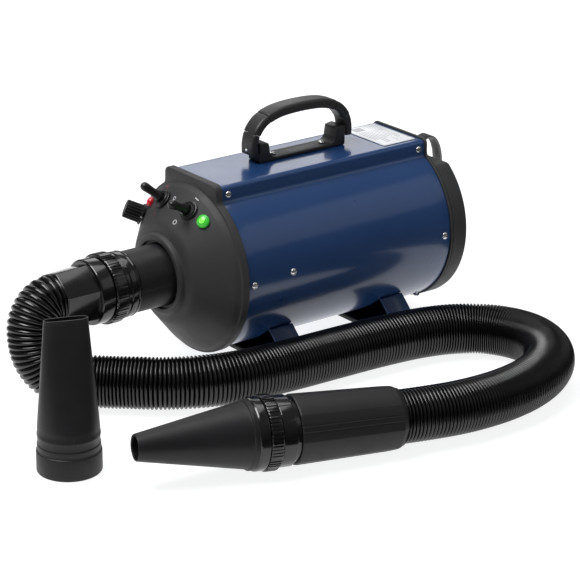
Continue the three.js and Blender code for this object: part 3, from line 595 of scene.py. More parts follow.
HOSE_COARSE = 3.9   # ridge pitch where the hose is stretched round its first bend
HOSE_TIGHT = 3.4    # and where it lies relaxed
HOSE_STRETCHED = (175.0, 300.0)  # the pitch changes between these distances
RINGS_PER_RIDGE = 6
HOSE_SIDES = 72
PATH_STEPS = 160    # of the centreline path that add_hose returns


def hose_mesh():
    line = Line(catmull(HOSE_ROUTE))
    s, phase, stations = 0.0, 0.0, []
    while s < line.length:
        eased_in = smoothstep((s - HOSE_STRETCHED[0]) / (HOSE_STRETCHED[1] - HOSE_STRETCHED[0]))
        stations.append((s, phase, eased_in))
        pitch = lerp(HOSE_COARSE, HOSE_TIGHT, eased_in)
        pitch *= 1 + 0.07 * math.sin(s * 0.031) + 0.04 * math.sin(s * 0.113 + 1)
        s += pitch / RINGS_PER_RIDGE
        phase += 1 / RINGS_PER_RIDGE
    rings = []
    across = Vector((0, 0, 1))
    for s, phase, eased_in in stations:
        centre, ahead = line.at(s), line.heading(s)
        across = (across - ahead * across.dot(ahead)).normalized()
        beside = ahead.cross(across)
        ridge = abs(math.sin(math.pi * phase))
        depth = lerp(2.7, 2.3, eased_in) * (1 + 0.12 * math.sin(phase * 0.7))
        radius = HOSE_R - depth * (1 - ridge) ** 1.35
        ring = []
        for k in range(HOSE_SIDES):
            a = TAU * k / HOSE_SIDES
            ring.append(tuple(
                centre + (across * math.cos(a) + beside * math.sin(a)) * radius
            ))
        rings.append(ring)
    outer = list(rings)
    inner = []
    for end in (rings[-1], rings[0]):
        centre = sum((Vector(v) for v in end), Vector()) / len(end)
        inner.append([tuple(centre + (Vector(v) - centre) * 0.86) for v in end])
    verts, faces = lofted(outer, caps=False)
    count, last = HOSE_SIDES, (len(outer) - 1) * HOSE_SIDES
    for ring, base in ((inner[0], last), (inner[1], 0)):
        start = len(verts)
        verts += ring
        for k in range(count):
            m = (k + 1) % count
            faces.append((base + k, base + m, start + m, start + k))
        faces.append(tuple(range(start, start + count)))
    return (verts, faces), line


def add_hose():
    shape, line = hose_mesh()
    piece = build("hose_skin", shape, ROW, HOSE, "hose", smooth=60)
    path = [tuple(line.at(line.length * i / PATH_STEPS) * MM) for i in range(PATH_STEPS + 1)]
    return piece, path, line.length * MM


# ------------------------------------------------------------------ barrel and its ends

BARREL_R = 84


def keyhole(grow):
    """The barrel's section in (y, z): a circle with a flat-topped spine. The same count of
    points for every amount of growth, so that two of them can be lofted together."""
    r, w, top, corner = BARREL_R + grow, 40 + grow, 89.7 + grow, 5 + grow
    foot = math.sqrt(r * r - (w + 4) ** 2)
    angle = math.atan2(foot, w + 4)
    loop = []
    for i in range(181):
        a = angle - (math.pi + 2 * angle) * i / 180
        loop.append((r * math.cos(a), r * math.sin(a)))

    def curve(a, b, c, steps):
        for i in range(1, steps + 1):
            t = i / steps
            loop.append(tuple(
                a[k] * (1 - t) ** 2 + b[k] * 2 * t * (1 - t) + c[k] * t * t for k in (0, 1)
            ))

    def straight(a, b, steps):
        for i in range(1, steps + 1):
            loop.append((lerp(a[0], b[0], i / steps), lerp(a[1], b[1], i / steps)))

    curve((-w - 4, foot), (-w, foot + 2), (-w, foot + 6.4), 6)
    straight((-w, foot + 6.4), (-w, top - corner), 3)
    curve((-w, top - corner), (-w, top), (-w + corner, top), 8)
    straight((-w + corner, top), (w - corner, top), 14)
    curve((w - corner, top), (w, top), (w, top - corner), 8)
    straight((w, top - corner), (w, foot + 6.4), 3)
    curve((w, foot + 6.4), (w, foot + 2), (w + 4, foot), 6)
    return loop[:-1]


def ring_at(x, loop):
    return [(x, y, z) for y, z in loop]


def keyholes(*spots):
    """Rings of the barrel's section, one for each (x, growth)."""
    return [ring_at(x, keyhole(grow)) for x, grow in spots]


def circle_like(loop, radius, top=None):
    """Points at the same bearings as loop, on a circle that may be cut flat on top."""
    result = []
    for y, z in loop:
        a = math.atan2(z, y)
        r = radius
        if top is not None and r * math.sin(a) > top:
            r = top / math.sin(a)
        result.append((r * math.cos(a), r * math.sin(a)))
    return result


def add_barrel():
    rings = keyholes(
        (0.6, -1.1), (0.35, -0.6), (0.6, -0.1), (1.1, 0), *[(x, 0) for x in range(12, 250, 12)],
        (252.9, 0), (253.4, -0.1), (253.65, -0.6), (253.4, -1.1),
    )
    build("barrel_skin", lofted(rings, wrap=True), BARREL, PAINT, "barrel_shell", smooth=40)


CONE_BASE, CONE_TIP = (-14.0, 80.0), (-40.0, 50.0)  # (x, radius) at the front cone's ends
CONE_SPAN = math.dist(CONE_BASE, CONE_TIP)


def on_slope(t):
    """(x, radius) on the front cone, from its base at 0 to its tip at 1."""
    return lerp(CONE_BASE[0], CONE_TIP[0], t), lerp(CONE_BASE[1], CONE_TIP[1], t)


def add_front_cap():
    edge = keyhole(2.5)
    rings = keyholes((0, 1.0), (0, 2.1), (-0.5, 2.5), (-6.6, 2.5), (-7.5, 2.1), (-8, 1.3))
    rings.append(ring_at(-8, circle_like(edge, 85.1)))
    profile = [
        (-8.0, 84.9), (-8.15, 84.4), (-8.6, 83.9), (-10.2, 82.9), (-12.2, 81.5),
        (-13.4, 80.6), (-14.2, 79.7),
    ]
    profile += [on_slope(i / 12) for i in range(1, 12)]
    profile += [
        (-40.2, 49.4), (-41.2, 46.8), (-41.9, 44.2), (-42.4, 42.0), (-43.2, 40.7),
        (-44.6, 40.2), (-46.2, 39.8), (-47.3, 39.0), (-47.9, 37.8), (-48.0, 36.4),
        (-48.0, 34.8), (-47.7, 34.0),
        (-47.0, 33.7), (-44.8, 33.6), (-44.4, 33.2), (-44.3, 31.4), (-43.9, 30.9), (-39.0, 30.9),
        (-37.0, 45.0), (-12.0, 76.0),
    ]
    rings += [ring_at(x, circle_like(edge, r)) for x, r in profile]
    rings += keyholes(
        (-4, -4.4), (13.5, -4.1), (14, -3.6), (14, -1.9), (13.5, -1.5), (0, -1.5)
    )
    build("front_cap_skin", lofted(rings, wrap=True), BARREL, MATTE, "front_cap", smooth=34)


def add_rear_frame():
    edge = keyhole(1.5)

    def rim(x, radius, top):
        return ring_at(x, circle_like(edge, radius, top))

    rings = [
        *keyholes((254.0, -1.5), (254.0, 0.9), (254.5, 1.5), (256.4, 1.5), (257.0, 0.8)),
        rim(257.0, 85.45, 66.2), rim(257.4, 85.5, 66.0), rim(272.6, 85.5, 66.0),
        rim(274.2, 85.1, 65.7), rim(275.0, 84.2, 65.0), rim(275.0, 83.2, 64.3),
        rim(274.3, 82.3, 63.6), rim(272.8, 82.0, 63.4), rim(256.0, 82.0, 63.4),
        rim(255.2, 80.0, 62.0), rim(255.0, 66.5, 64.0), rim(254.2, 65.0, 64.0),
        rim(252.0, 65.0, 64.0),
        *keyholes((252.0, -4.1), (240.4, -4.1), (240.0, -3.6), (240.0, -1.9), (240.4, -1.5)),
    ]
    build("rear_frame_skin", lofted(rings, wrap=True), BARREL, MATTE, "rear_frame", smooth=34)


def cut_disc(count, radius, top):
    """A circle in (y, z), cut flat on top."""
    loop = []
    for i in range(count):
        a = TAU * i / count
        y, z = radius * math.cos(a), radius * math.sin(a)
        if z > top:
            y, z = top / math.tan(a), top
        loop.append((y, z))
    return loop


def add_filter():
    radius, open_radius, top = 80.8, 71.0, 62.8
    outline = cut_disc(140, radius, top)
    shrink = open_radius / radius
    inner = [(y * shrink, min(z * shrink, top - 9)) for y, z in outline]
    rim = lofted([
        ring_at(266.6, outline), ring_at(269.4, outline), ring_at(270, shifted(outline, 0.6)),
        ring_at(270, inner), ring_at(269.4, shifted(inner, 0.6)),
        ring_at(266.6, shifted(inner, 0.6)), ring_at(266, inner),
        ring_at(266, shifted(outline, 0.6)),
    ], wrap=True)
    slats = []
    for row in range(-13, 11):
        z = row * 5 + 1.5
        half = math.sqrt(72.5 ** 2 - (abs(z) + 1) ** 2)
        section = [(266.6, z - 1.1), (269.0, z - 1.1), (269.6, z - 0.5), (269.6, z + 0.7),
                   (269.0, z + 1.3), (266.6, z + 1.3), (266.2, z + 0.8), (266.2, z - 0.6)]
        slats.append(lofted([
            [(x, -half, v) for x, v in section], [(x, half, v) for x, v in section]
        ]))
    post = [(y, x) for y, x in eased([(-13, 266), (13, 266), (13, 270), (-13, 270)], 0.8)]
    spine = lofted([
        [(x, y, z) for y, x in post] for z in (-71.5, -30, 0, 30, top - 8)
    ])
    build("filter_grille", joined(rim, *slats, spine), BARREL, MATTE, "filter_cover",
          body="filter", smooth=34)

    top = 61.9
    rings = []
    for x, shrink in ((257.8, 0.985), (258.4, 1.0), (264.9, 1.0), (265.5, 0.985)):
        ring = []
        for i, (y, z) in enumerate(cut_disc(180, 79.8 * shrink, top * shrink)):
            a = TAU * i / 180
            wobble = 1 + (0.12 * math.sin(a * 17) + 0.08 * math.sin(a * 41 + 1)) / 80
            ring.append((x, y * wobble, z * wobble))
        rings.append(ring)
    build("filter_foam_disc", lofted(rings), BARREL, FOAM, "filter_foam", body="filter", smooth=34)


def bezier(a, b, c, d, steps):
    result = []
    for i in range(steps + 1):
        t = i / steps
        result.append(tuple(
            a[k] * (1 - t) ** 3 + 3 * b[k] * t * (1 - t) ** 2 + 3 * c[k] * t * t * (1 - t)
            + d[k] * t ** 3 for k in (0, 1)
        ))
    return result


def add_pull_loop():
    x0 = 270.4
    outer = [(x0, 53), (x0 + 3.2, 57)]
    outer += bezier((x0 + 6.5, 61), (x0 + 8, 88), (x0 + 36, 86), (x0 + 38, 50), 26)
    outer += bezier((x0 + 38, 50), (x0 + 38.5, 34), (x0 + 24, 22), (x0, 22), 26)[1:]
    inner = [(max(x0, x), z) for x, z in beside_line(outer, -2.6)]
    half, soft = 6.4, 0.5
    rings = []
    for (ox, oz), (ix, iz) in zip(outer, inner):
        def at(t, y):
            return (lerp(ox, ix, t), y, lerp(oz, iz, t))

        rings.append([
            at(0.12, -half), at(0, -half + soft), at(0, half - soft), at(0.12, half),
            at(0.5, half + 0.1), at(0.88, half), at(1, half - soft), at(1, -half + soft),
            at(0.88, -half), at(0.5, -half - 0.1),
        ])
    shape = lofted(rings)
    felt = (4, 5, 6, 7, 8)
    spans = len(rings) - 1
    index = [1 if k in felt else 0 for _ in range(spans) for k in range(10)] + [0, 0]
    build("pull_loop_webbing", shape, BARREL, (WEB, FELT), "filter_pull_loop", body="filter",
          smooth=40, index=index)


def add_gland():
    place = BARREL @ Matrix.Translation((266, 85.5, -20)) @ Matrix.Rotation(math.pi / 2, 4, "Z")
    outline = eased([
        (-3.0, 3.8), (11.6, 3.8), (12, 4.9), (9, 5.5), (9, 5.0), (8, 5.2), (8, 5.9), (6, 6.3),
        (6, 5.8), (5, 6.1), (5, 6.7), (4, 7.0), (4, 8.4), (0.2, 8.4), (0, 5.9), (-3, 5.9),
    ], 0.35, 2)
    build("cord_gland_skin", lathed(outline, 48), place, BOOT, "cord_gland")


def add_label():
    loop = eased([(208, -32), (249, -32), (249, 34), (208, 34)], 2.0, 5)
    shape = slab(loop, 90.0, 90.45, 0.15, lambda u, v, w: (u, v, w))
    build("label_plate_film", shape, BARREL, LABEL, "label_plate")


# ------------------------------------------------------------------ feet

def across(u, v, w):
    """Places a slab's loop in (y, z) and its width along X."""
    return (w, u, v)


def add_foot(name, x):
    centre, half, half_sheet = 85.55, 14, 1.22
    line = [(centre * math.sin(math.radians(a)), -centre * math.cos(math.radians(a)))
            for a in range(0, 46, 3)]
    line += [(61.7, -59.1), (95.6, -91.3), (81.2, -91.45)]
    right = eased(line, 3.0, 6, loop=False)
    middle = [(-y, z) for y, z in reversed(right[1:])] + right
    strap = beside_line(middle, -half_sheet) + beside_line(middle, half_sheet)[::-1]
    build(f"strap_{name}", slab(strap, x - half, x + half, 0.35, across), BARREL, PAINT,
          f"foot_bracket_{name}", smooth=34)
    loop = eased([(-97, -97.9), (97, -97.9), (97, -93), (-97, -93)], 1.6, 4)
    build(f"pad_{name}", slab(loop, x - half, x + half, 0.8, across), BARREL, PAD,
          f"foot_pad_{name}", smooth=34)


# ------------------------------------------------------------------ carry handle

HANDLE_X, HANDLE_Y, PIVOT_Z = 127.0, 6.0, 103.0
HANDLE_HALF = [(58.5, 98.6), (58.5, 109), (55.4, 119.5), (46.5, 129.6), (30, 136.2), (0, 138.6)]


def handle_line():
    left = [(HANDLE_X - x, HANDLE_Y, z) for x, z in HANDLE_HALF]
    right = [(HANDLE_X + x, HANDLE_Y, z) for x, z in HANDLE_HALF[-2::-1]]
    return Line(catmull(left + right))


def add_grip(name, node, start, end, thick):
    """One moulded length of the grip, with a parting line along its sides and eased ends."""
    line = handle_line()
    s0, s1 = start * line.length, end * line.length
    soft = 0.9
    stations = [(s0, 0.9), (s0 + soft * 0.3, 0.3), (s0 + soft, 0.0)]
    count = max(4, int((s1 - s0) / 2.2))
    stations += [(lerp(s0 + soft, s1 - soft, i / count), 0.0) for i in range(1, count)]
    stations += [(s1 - soft, 0.0), (s1 - soft * 0.3, 0.3), (s1, 0.9)]
    half = thick / 2
    section = eased([(-10, -half), (10, -half), (10, half), (-10, half)], 3.6, 7)
    rings = []
    for s, inset in stations:
        centre, ahead = line.at(s), line.heading(s)
        beside = Vector((0, 1, 0))
        above = ahead.cross(beside) * -1
        ring = []
        for u, v in section:
            scale_u = (10 - inset) / 10
            scale_v = (half - inset) / half
            crease = 0.28 if abs(v) < 0.9 else 0.0
            u = (abs(u) - crease) * math.copysign(1, u) * scale_u
            ring.append(tuple(centre + beside * u + above * (v * scale_v)))
        rings.append(ring)
    build(name, lofted(rings), BARREL, HANDLE, node, body="carry_handle", smooth=40)


def add_handle():
    half, z, lug = 53.0, 90.0, 20.0
    side = [
        (-half, z), (half, z), (half, z + lug - 1), (half - 1.5, z + lug), (half - 5, z + lug),
        (half - 10.6, z + lug - 1), (half - 12.2, z + 8), (half - 15, z + 4.6),
        (half - 19, z + 3.4), (-half + 19, z + 3.4), (-half + 15, z + 4.6),
        (-half + 12.2, z + 8), (-half + 10.6, z + lug - 1), (-half + 5, z + lug),
        (-half + 1.5, z + lug), (-half, z + lug - 1),
    ]
    shape = slab(eased(side, 1.8, 4), -4, 16, 0.9,
                        lambda u, v, w: (HANDLE_X + u, w, v))
    build("handle_base_moulding", shape, BARREL, HANDLE, "handle_base", smooth=34)
    spans = [
        ("grip_front_end", "grip_end_front", 0.0, 0.1225, 8.4),
        ("grip_front_shoulder", "grip_shoulder_front", 0.1235, 0.2480, 9.2),
        ("grip_centre", "grip_middle", 0.2492, 0.7508, 10.0),
        ("grip_rear_shoulder", "grip_shoulder_rear", 0.7520, 0.8765, 9.2),
        ("grip_rear_end", "grip_end_rear", 0.8775, 1.0, 8.4),
    ]
    for name, node, start, end, thick in spans:
        add_grip(name, node, start, end, thick)
    for name, side in (("front", -1), ("rear", 1)):
        inner, outer = HANDLE_X + side * 45.0, HANDLE_X + side * 63.1
        place = BARREL @ Matrix.Translation((0, HANDLE_Y, PIVOT_Z))
        outline = [(inner, 0), (inner, 1.7), (inner + side * 0.3, 2.0),
                   (outer - side * 0.9, 2.0), (outer - side * 0.2, 1.5), (outer, 0)]
        build(f"hinge_pin_{name}", lathed(outline, 32, loop=False), place, SCREW,
              f"handle_pin_{name}", body="carry_handle")


# ------------------------------------------------------------------ screws

def screw_head(turn):
    """A pan head with a cross recess, on a shank, standing along +Z from z = 0."""
    radii = [0, 0.25, 0.5, 0.75, 1.0, 1.25, 1.5, 1.75, 2.0, 2.3, 2.6, 2.9, 3.2, 3.45, 3.6]
    spokes = 96
    verts, faces, rows = [], [], []
    for r in radii:
        row = []
        for k in range(spokes if r > 0 else 1):
            a = TAU * k / spokes
            dome = 2.5 - 0.75 * (r / 3.6) ** 2 - 0.7 * (r / 3.6) ** 8
            x, y = r * math.cos(a), r * math.sin(a)
            c, s = math.cos(turn), math.sin(turn)
            u, v = abs(x * c + y * s), abs(-x * s + y * c)
            wide = 0.42 * (1 - 0.25 * r / 2.2)
            arm = min(u, v)
            inside = smoothstep((wide - arm) / 0.22 + 0.5) * smoothstep((2.25 - r) / 0.35)
            row.append(len(verts))
            verts.append((x, y, dome - 1.35 * inside * (1 - 0.35 * r / 2.2)))
        rows.append(row)
    for r, z in ((3.6, 0.55), (3.45, 0.1), (1.7, 0.0), (1.7, -6.6), (1.2, -7.0), (0, -7.0)):
        row = []
        for k in range(spokes if r > 0 else 1):
            a = TAU * k / spokes
            row.append(len(verts))
            verts.append((r * math.cos(a), r * math.sin(a), z))
        rows.append(row)
    for one, two in zip(rows, rows[1:]):
        for k in range(spokes):
            m = (k + 1) % spokes
            if len(one) == 1:
                faces.append((one[0], two[k], two[m]))
            elif len(two) == 1:
                faces.append((one[k], two[0], one[m]))
            else:
                faces.append((one[k], two[k], two[m], one[m]))
    return verts, faces


SIDE_SCREWS = {  # (x, y, z) of the near one's twin on the far side
    "spine_front": (8, 40, 81.2), "spine_rear": (246, 40, 81.2),
    "side_front": (7, BARREL_R, 2), "side_rear": (246, BARREL_R, 2), "motor": (53.4, BARREL_R, 6),
}
BOTTOM_ANGLE = math.radians(27)  # of the two screws under the rear end, from straight down
TURN_STEP = 0.83  # from one screw's cross to the next one's, in radians


def add_screws():
    spots = []
    for where, (x, y, z) in SIDE_SCREWS.items():
        lift = (math.sqrt(y * y - z * z) if y == BARREL_R else y) + 0.1
        for name, side in (("near", -1), ("far", 1)):
            out = Matrix.Rotation(-side * math.pi / 2, 4, "X")
            spots.append((f"case_screw_{where}_{name}", f"screw_{where}_{name}",
                          Matrix.Translation((x, side * lift, z)) @ out))
    for name, x in (("front", 96), ("rear", 158)):
        spots.append((f"base_screw_{name}", f"screw_handle_{name}",
                      Matrix.Translation((x, HANDLE_Y, 93.5))))
    for name, side in (("near", -1), ("far", 1)):
        down = Matrix.Rotation(math.pi - side * BOTTOM_ANGLE, 4, "X")
        y, z = side * 84.1 * math.sin(BOTTOM_ANGLE), -84.1 * math.cos(BOTTOM_ANGLE)
        spots.append((f"case_screw_bottom_{name}", None,
                      Matrix.Translation((250, y, z)) @ down))
    turn = 0.3
    for name, node, place in spots:
        turn += TURN_STEP
        build(name, screw_head(turn), BARREL @ place, SCREW, node, smooth=38)


# ------------------------------------------------------------------ outlet, cuff and grip

def knurl(teeth, depth):
    """Grouped ribs: every fourth valley stays nearly filled, as on a moulded ring."""
    def wave(x, r, a):
        if r < 31.5:
            return r
        t = a / TAU * teeth
        tooth = 0.5 + 0.5 * math.cos(TAU * t)
        valley = smoothstep((0.62 - tooth) / 0.3)
        if int(t) % 4 == 0:
            valley *= 0.25
        return r - depth * valley
    return wave


def flats(count, depth, turn):
    """Broad flats with soft corners round a tube."""
    def wave(x, r, a):
        t = ((a + turn) / TAU * count) % 1 - 0.5
        half = math.pi / count
        flat = math.cos(half) / math.cos(t * 2 * half)
        return r * lerp(1, flat, depth)
    return wave


def add_outlet():
    sleeve = eased([
        (-86, 26.5), (-40.3, 26.5), (-30, 26.5), (-30, 34), (-39.7, 34), (-39.7, 30.4),
        (-86, 30.4),
    ], 0.5)
    build("outlet_sleeve_tube", lathed(sleeve, 128), BARREL, NOZZLE, "outlet_sleeve")
    socket = eased([
        (-86.3, 26.5), (-86.3, 31.9), (-88.4, 32.4), (-88.9, 31.7), (-90.2, 31.7), (-90.7, 32.4),
        (-96.2, 32.4), (-96.8, 31.4), (-100.8, 31.4), (-100.8, 28.9), (-119, 28.9), (-119, 26.5),
    ], 0.4, 3)
    build("outlet_socket_ring", lathed(socket, 160), BARREL, GLOSS, "outlet_socket")
    ring = eased([
        (-101.3, 29.5), (-101.3, 33.5), (-102.6, 34.6), (-113.6, 34.6), (-115, 33.6),
        (-115, 29.5),
    ], 0.5, 3)
    build("lock_ring_rear", lathed(ring, 640, knurl(64, 0.85)), BARREL, GLOSS, "lock_ring_machine",
          body="machine_ring")
    cuff = eased([
        (-115.3, 29.5), (-115.3, 31.3), (-116.2, 32), (-128.8, 32), (-130, 31.2), (-130.4, 30.1),
        (-131, 30.3), (-164.0, 28.5), (-165, 27.8), (-165, 25.2), (-130, 25.2), (-120, 25.6),
        (-118, 29.5),
    ], 0.45, 3)

    def cuff_wave(x, r, a):
        if x > -130.2 or r < 26:
            notch = abs(((a / TAU * 3) % 1) - 0.5)
            if -129 < x < -116 and r > 31 and notch < 0.006:
                return r - 0.4
            return r
        side = flats(6, 0.75, 0.35)(x, r, a)
        seam = abs((((a + 0.35) / TAU * 6 + 0.5) % 1) - 0.5)
        return side - (0.35 if seam < 0.012 else 0)

    build("hose_cuff_moulding", lathed(cuff, 720, cuff_wave), BARREL, GLOSS, "hose_cuff",
          smooth=26)


HEADING, PITCH = math.radians(164.1), math.radians(2.3)
NOZZLE_LINE = (
    Matrix.Translation((-34, -280.4, 29.5))
    @ Matrix.Rotation(HEADING, 4, "Z")
    @ Matrix.Rotation(-PITCH, 4, "Y")
)


def grip_wave(x, r, a):
    """Four broad panels, parted by pairs of raised ribs and a groove beside each."""
    if r < 27:
        return r
    t = ((a + 0.42) / TAU * 4) % 1
    away = abs(t - 0.5)
    rib = smoothstep((0.009 - abs(away - 0.05)) / 0.006) * 0.5
    groove = smoothstep((0.010 - abs(away - 0.068)) / 0.006) * 0.22
    facet = (math.cos(math.pi / 8) / math.cos(((a / TAU * 8) % 1 - 0.5) * math.pi / 4) - 1) * 0.55
    ends = smoothstep((x - 5) / 4) * smoothstep((105.4 - x) / 1.5)
    return r * (1 + facet * 0.6) + (rib - groove) * ends - 0.45


def add_nozzle():
    shell = [(0.3, 25.6), (0.3, 27.0), (5.4, 29.9)]
    shell += [(lerp(6.2, 103.8, i / 12), lerp(30.1, 32.8, i / 12)) for i in range(13)]
    shell += [(104.8, 32.3), (105, 31.6), (105, 25.6)]
    build("hand_grip_moulding", lathed(eased(shell, 0.6, 3), 640, grip_wave), NOZZLE_LINE, GRIP,
          "hand_grip", smooth=28)
    socket = eased([
        (105.3, 24), (105.3, 29.8), (109.6, 29.8), (109.6, 32), (110.2, 32.4), (122, 32.4),
        (123, 31.8), (123, 28.6), (137, 28.6), (137, 24),
    ], 0.35, 3)

    def socket_wave(x, r, a):
        if r > 31.5 and abs(((a / TAU * 2 + 0.13) % 1) - 0.5) < 0.004:
            return r - 0.5
        return r

    build("nozzle_socket_ring", lathed(socket, 480, socket_wave), NOZZLE_LINE, GLOSS,
          "nozzle_socket", smooth=28)
    ring = eased([
        (123.4, 29), (123.4, 33.7), (124.4, 34.6), (133.8, 34.6), (135, 33.7), (135, 29),
    ], 0.5, 3)
    build("lock_ring_front", lathed(ring, 640, knurl(64, 0.85)), NOZZLE_LINE, GLOSS,
          "lock_ring_nozzle", body="nozzle_ring")
    collar = [
        (135.4, 29.4), (135.4, 32.9), (136.2, 33.4), (143.4, 33.4), (145, 32.6), (145.4, 32),
        (149, 32), (149.8, 31.2), (150.2, 30.5),
    ]
    cone = collar + [(lerp(150.2, 249, i / 16), lerp(30.5, 12.4, i / 16)) for i in range(1, 17)]
    cone += [(250.1, 12.1), (250.5, 11.5), (250.4, 10.7), (249.6, 10.2), (152, 28.4), (141, 29.4)]
    cone, sides, collar_end = eased(cone, 0.4, 3), 128, 145.2
    shape = lathed(cone, sides)
    index = [1 if x < collar_end else 0 for x, _ in cone for _ in range(sides)]
    build("cone_nozzle_moulding", shape, NOZZLE_LINE, (NOZZLE, GLOSS), "cone_nozzle", body="cone",
          index=index)


# ------------------------------------------------------------------ spare flat nozzle

def add_flat_nozzle():
    height, neck = 143.0, 42.0
    outer = [
        (0, 28.2), (0.2, 28.9), (0.7, 29.3), (1.4, 29.5), (19, 29.5), (20, 29.2), (20.6, 28.5),
        (22.2, 28.3), (22.8, 28.6), (26.5, 28.5), (27.2, 28.0), (28.0, 27.9), (33.6, 27.9),
        (34.4, 28.4), (36.2, 28.4), (37.0, 27.9), (neck, 27.9),
    ]
    for i in range(1, 25):
        t = i / 24
        outer.append((lerp(neck, height - 1.2, t), lerp(27.9, 19.85, t)))
    outer += [(height - 0.7, 20.05), (height - 0.2, 19.9), (height, 19.4)]
    inner = [(height, 18.9), (height - 0.5, 18.4)]
    for i in range(23, -1, -1):
        t = i / 24
        inner.append((lerp(neck, height - 1.2, t), lerp(25.6, 18.2, t)))
    inner += [(36, 25.6), (22, 25.9), (20, 26.9), (1, 27.2), (0, 27.6)]
    sides = 144
    rings = []
    for group, wall in ((outer, 0), (inner, 1)):
        for z, r in group:
            rise = clamp((z - neck) / (height - neck))
            mouth = (5.25 - 1.5 * wall) / (19.75 - 1.4 * wall)
            flat = lerp(1, mouth, math.sin(rise * math.pi / 2))
            squareness = 2 + 0.9 * rise
            ring = []
            for k in range(sides):
                a = TAU * k / sides
                c, s = math.cos(a), math.sin(a)
                norm = (abs(c) ** squareness + abs(s) ** squareness) ** (1 / squareness)
                ring.append((r * c / norm, r * flat * s / norm, z))
            rings.append(ring)
    shape = lofted(rings, wrap=True)
    place = Matrix.Translation((-297.5, -142, 0)) @ Matrix.Rotation(math.radians(-21), 4, "Z")
    build("flat_nozzle_moulding", shape, place, NOZZLE, "flat_nozzle", body="spare_nozzle")


# ------------------------------------------------------------------ controls

SPOTS = {  # degrees from the top, and how far down the cone
    "knob": (-55.5, 0.33), "red": (-40, 0.26), "heat": (-18, 0.36), "power": (17, 0.36),
    "green": (34, 0.26),
}


def cone_frame(spot):
    """On the front cone: +Z is its normal and +X runs down it towards the nose."""
    degrees, down_cone = SPOTS[spot]
    a = math.radians(degrees)
    x, r = on_slope(down_cone)
    radial = Vector((0, -math.sin(a), math.cos(a)))
    down = (radial * (CONE_TIP[1] - CONE_BASE[1]) + Vector((CONE_TIP[0] - CONE_BASE[0], 0, 0)))
    down.normalize()
    side = radial.cross(Vector((1, 0, 0)))
    normal = down.cross(side)
    if normal.x > 0:
        normal, side = -normal, -side
    place = Matrix((down, side, normal)).transposed().to_4x4()
    place.translation = Vector((x, r * radial.y, r * radial.z))
    return BARREL @ place


UPRIGHT = Matrix.Rotation(-math.pi / 2, 4, "Y")  # turns a piece lathed about X to stand on +Z


def on_cone(name, outline, spot, material, node, body="dryer", segments=64, wave=None,
            tilt=0.0, lift=0.0, loop=False):
    """A turned piece that stands on the cone at a named spot."""
    place = cone_frame(spot) @ Matrix.Translation((0, 0, lift))
    place = place @ Matrix.Rotation(math.radians(tilt), 4, "Y") @ UPRIGHT
    build(name, lathed(outline, segments, wave, loop), place, material, node, body)


def cone_point(degrees, along, lift):
    """A point on the cone, along its slope from the base, lifted off it."""
    a = math.radians(degrees)
    x, r = on_slope(along / CONE_SPAN)
    x += (CONE_TIP[1] - CONE_BASE[1]) / CONE_SPAN * lift
    r -= (CONE_TIP[0] - CONE_BASE[0]) / CONE_SPAN * lift
    return (x, -r * math.sin(a), r * math.cos(a))


def decal(name, degrees, radius, strips, material):
    """A thin printed mark made of closed strips: (outer loop, inner loop), in millimetres, with
    u down the cone and v round it."""
    along0 = (CONE_BASE[1] - radius) / (CONE_BASE[1] - CONE_TIP[1]) * CONE_SPAN
    verts, faces = [], []
    for outer, inner in strips:
        start, count = len(verts), len(outer)
        for lift in (0.02, 0.09):
            for loop in (outer, inner):
                for u, v in loop:
                    turn = math.degrees(v / radius)
                    verts.append(cone_point(degrees + turn, along0 + u, lift))

        def at(level, ring, k):
            return start + (level * 2 + ring) * count + k % count

        for k in range(count):
            faces.append((at(1, 0, k), at(1, 0, k + 1), at(1, 1, k + 1), at(1, 1, k)))
            faces.append((at(0, 0, k), at(0, 1, k), at(0, 1, k + 1), at(0, 0, k + 1)))
            faces.append((at(0, 0, k), at(0, 0, k + 1), at(1, 0, k + 1), at(1, 0, k)))
            faces.append((at(0, 1, k), at(1, 1, k), at(1, 1, k + 1), at(0, 1, k + 1)))
    build(name, (verts, faces), BARREL, material, smooth=30)


def oval(u, v, width, count=40):
    outer = [(u * math.cos(TAU * k / count), v * math.sin(TAU * k / count)) for k in range(count)]
    inner = [((u - width) * math.cos(TAU * k / count), (v - width) * math.sin(TAU * k / count))
             for k in range(count)]
    return outer, inner


def bar(u, v, shift=(0.0, 0.0)):
    """A solid rounded bar, drawn as a strip round its own middle line."""
    outer = eased([(-u, -v), (u, -v), (u, v), (-u, v)], min(u, v) * 0.7, 4)
    outer = [(a + shift[0], b + shift[1]) for a, b in outer]
    inner = [(lerp(a, shift[0], 0.999), lerp(b, shift[1], 0.999)) for a, b in outer]
    return outer, inner


def knob_wave(x, r, a):
    if r < 7.5 or not 3.0 < x < 19.6:
        return r
    flute = 0.5 - 0.5 * math.cos(a * 20)
    return r - 0.95 * smoothstep(flute * 1.2)


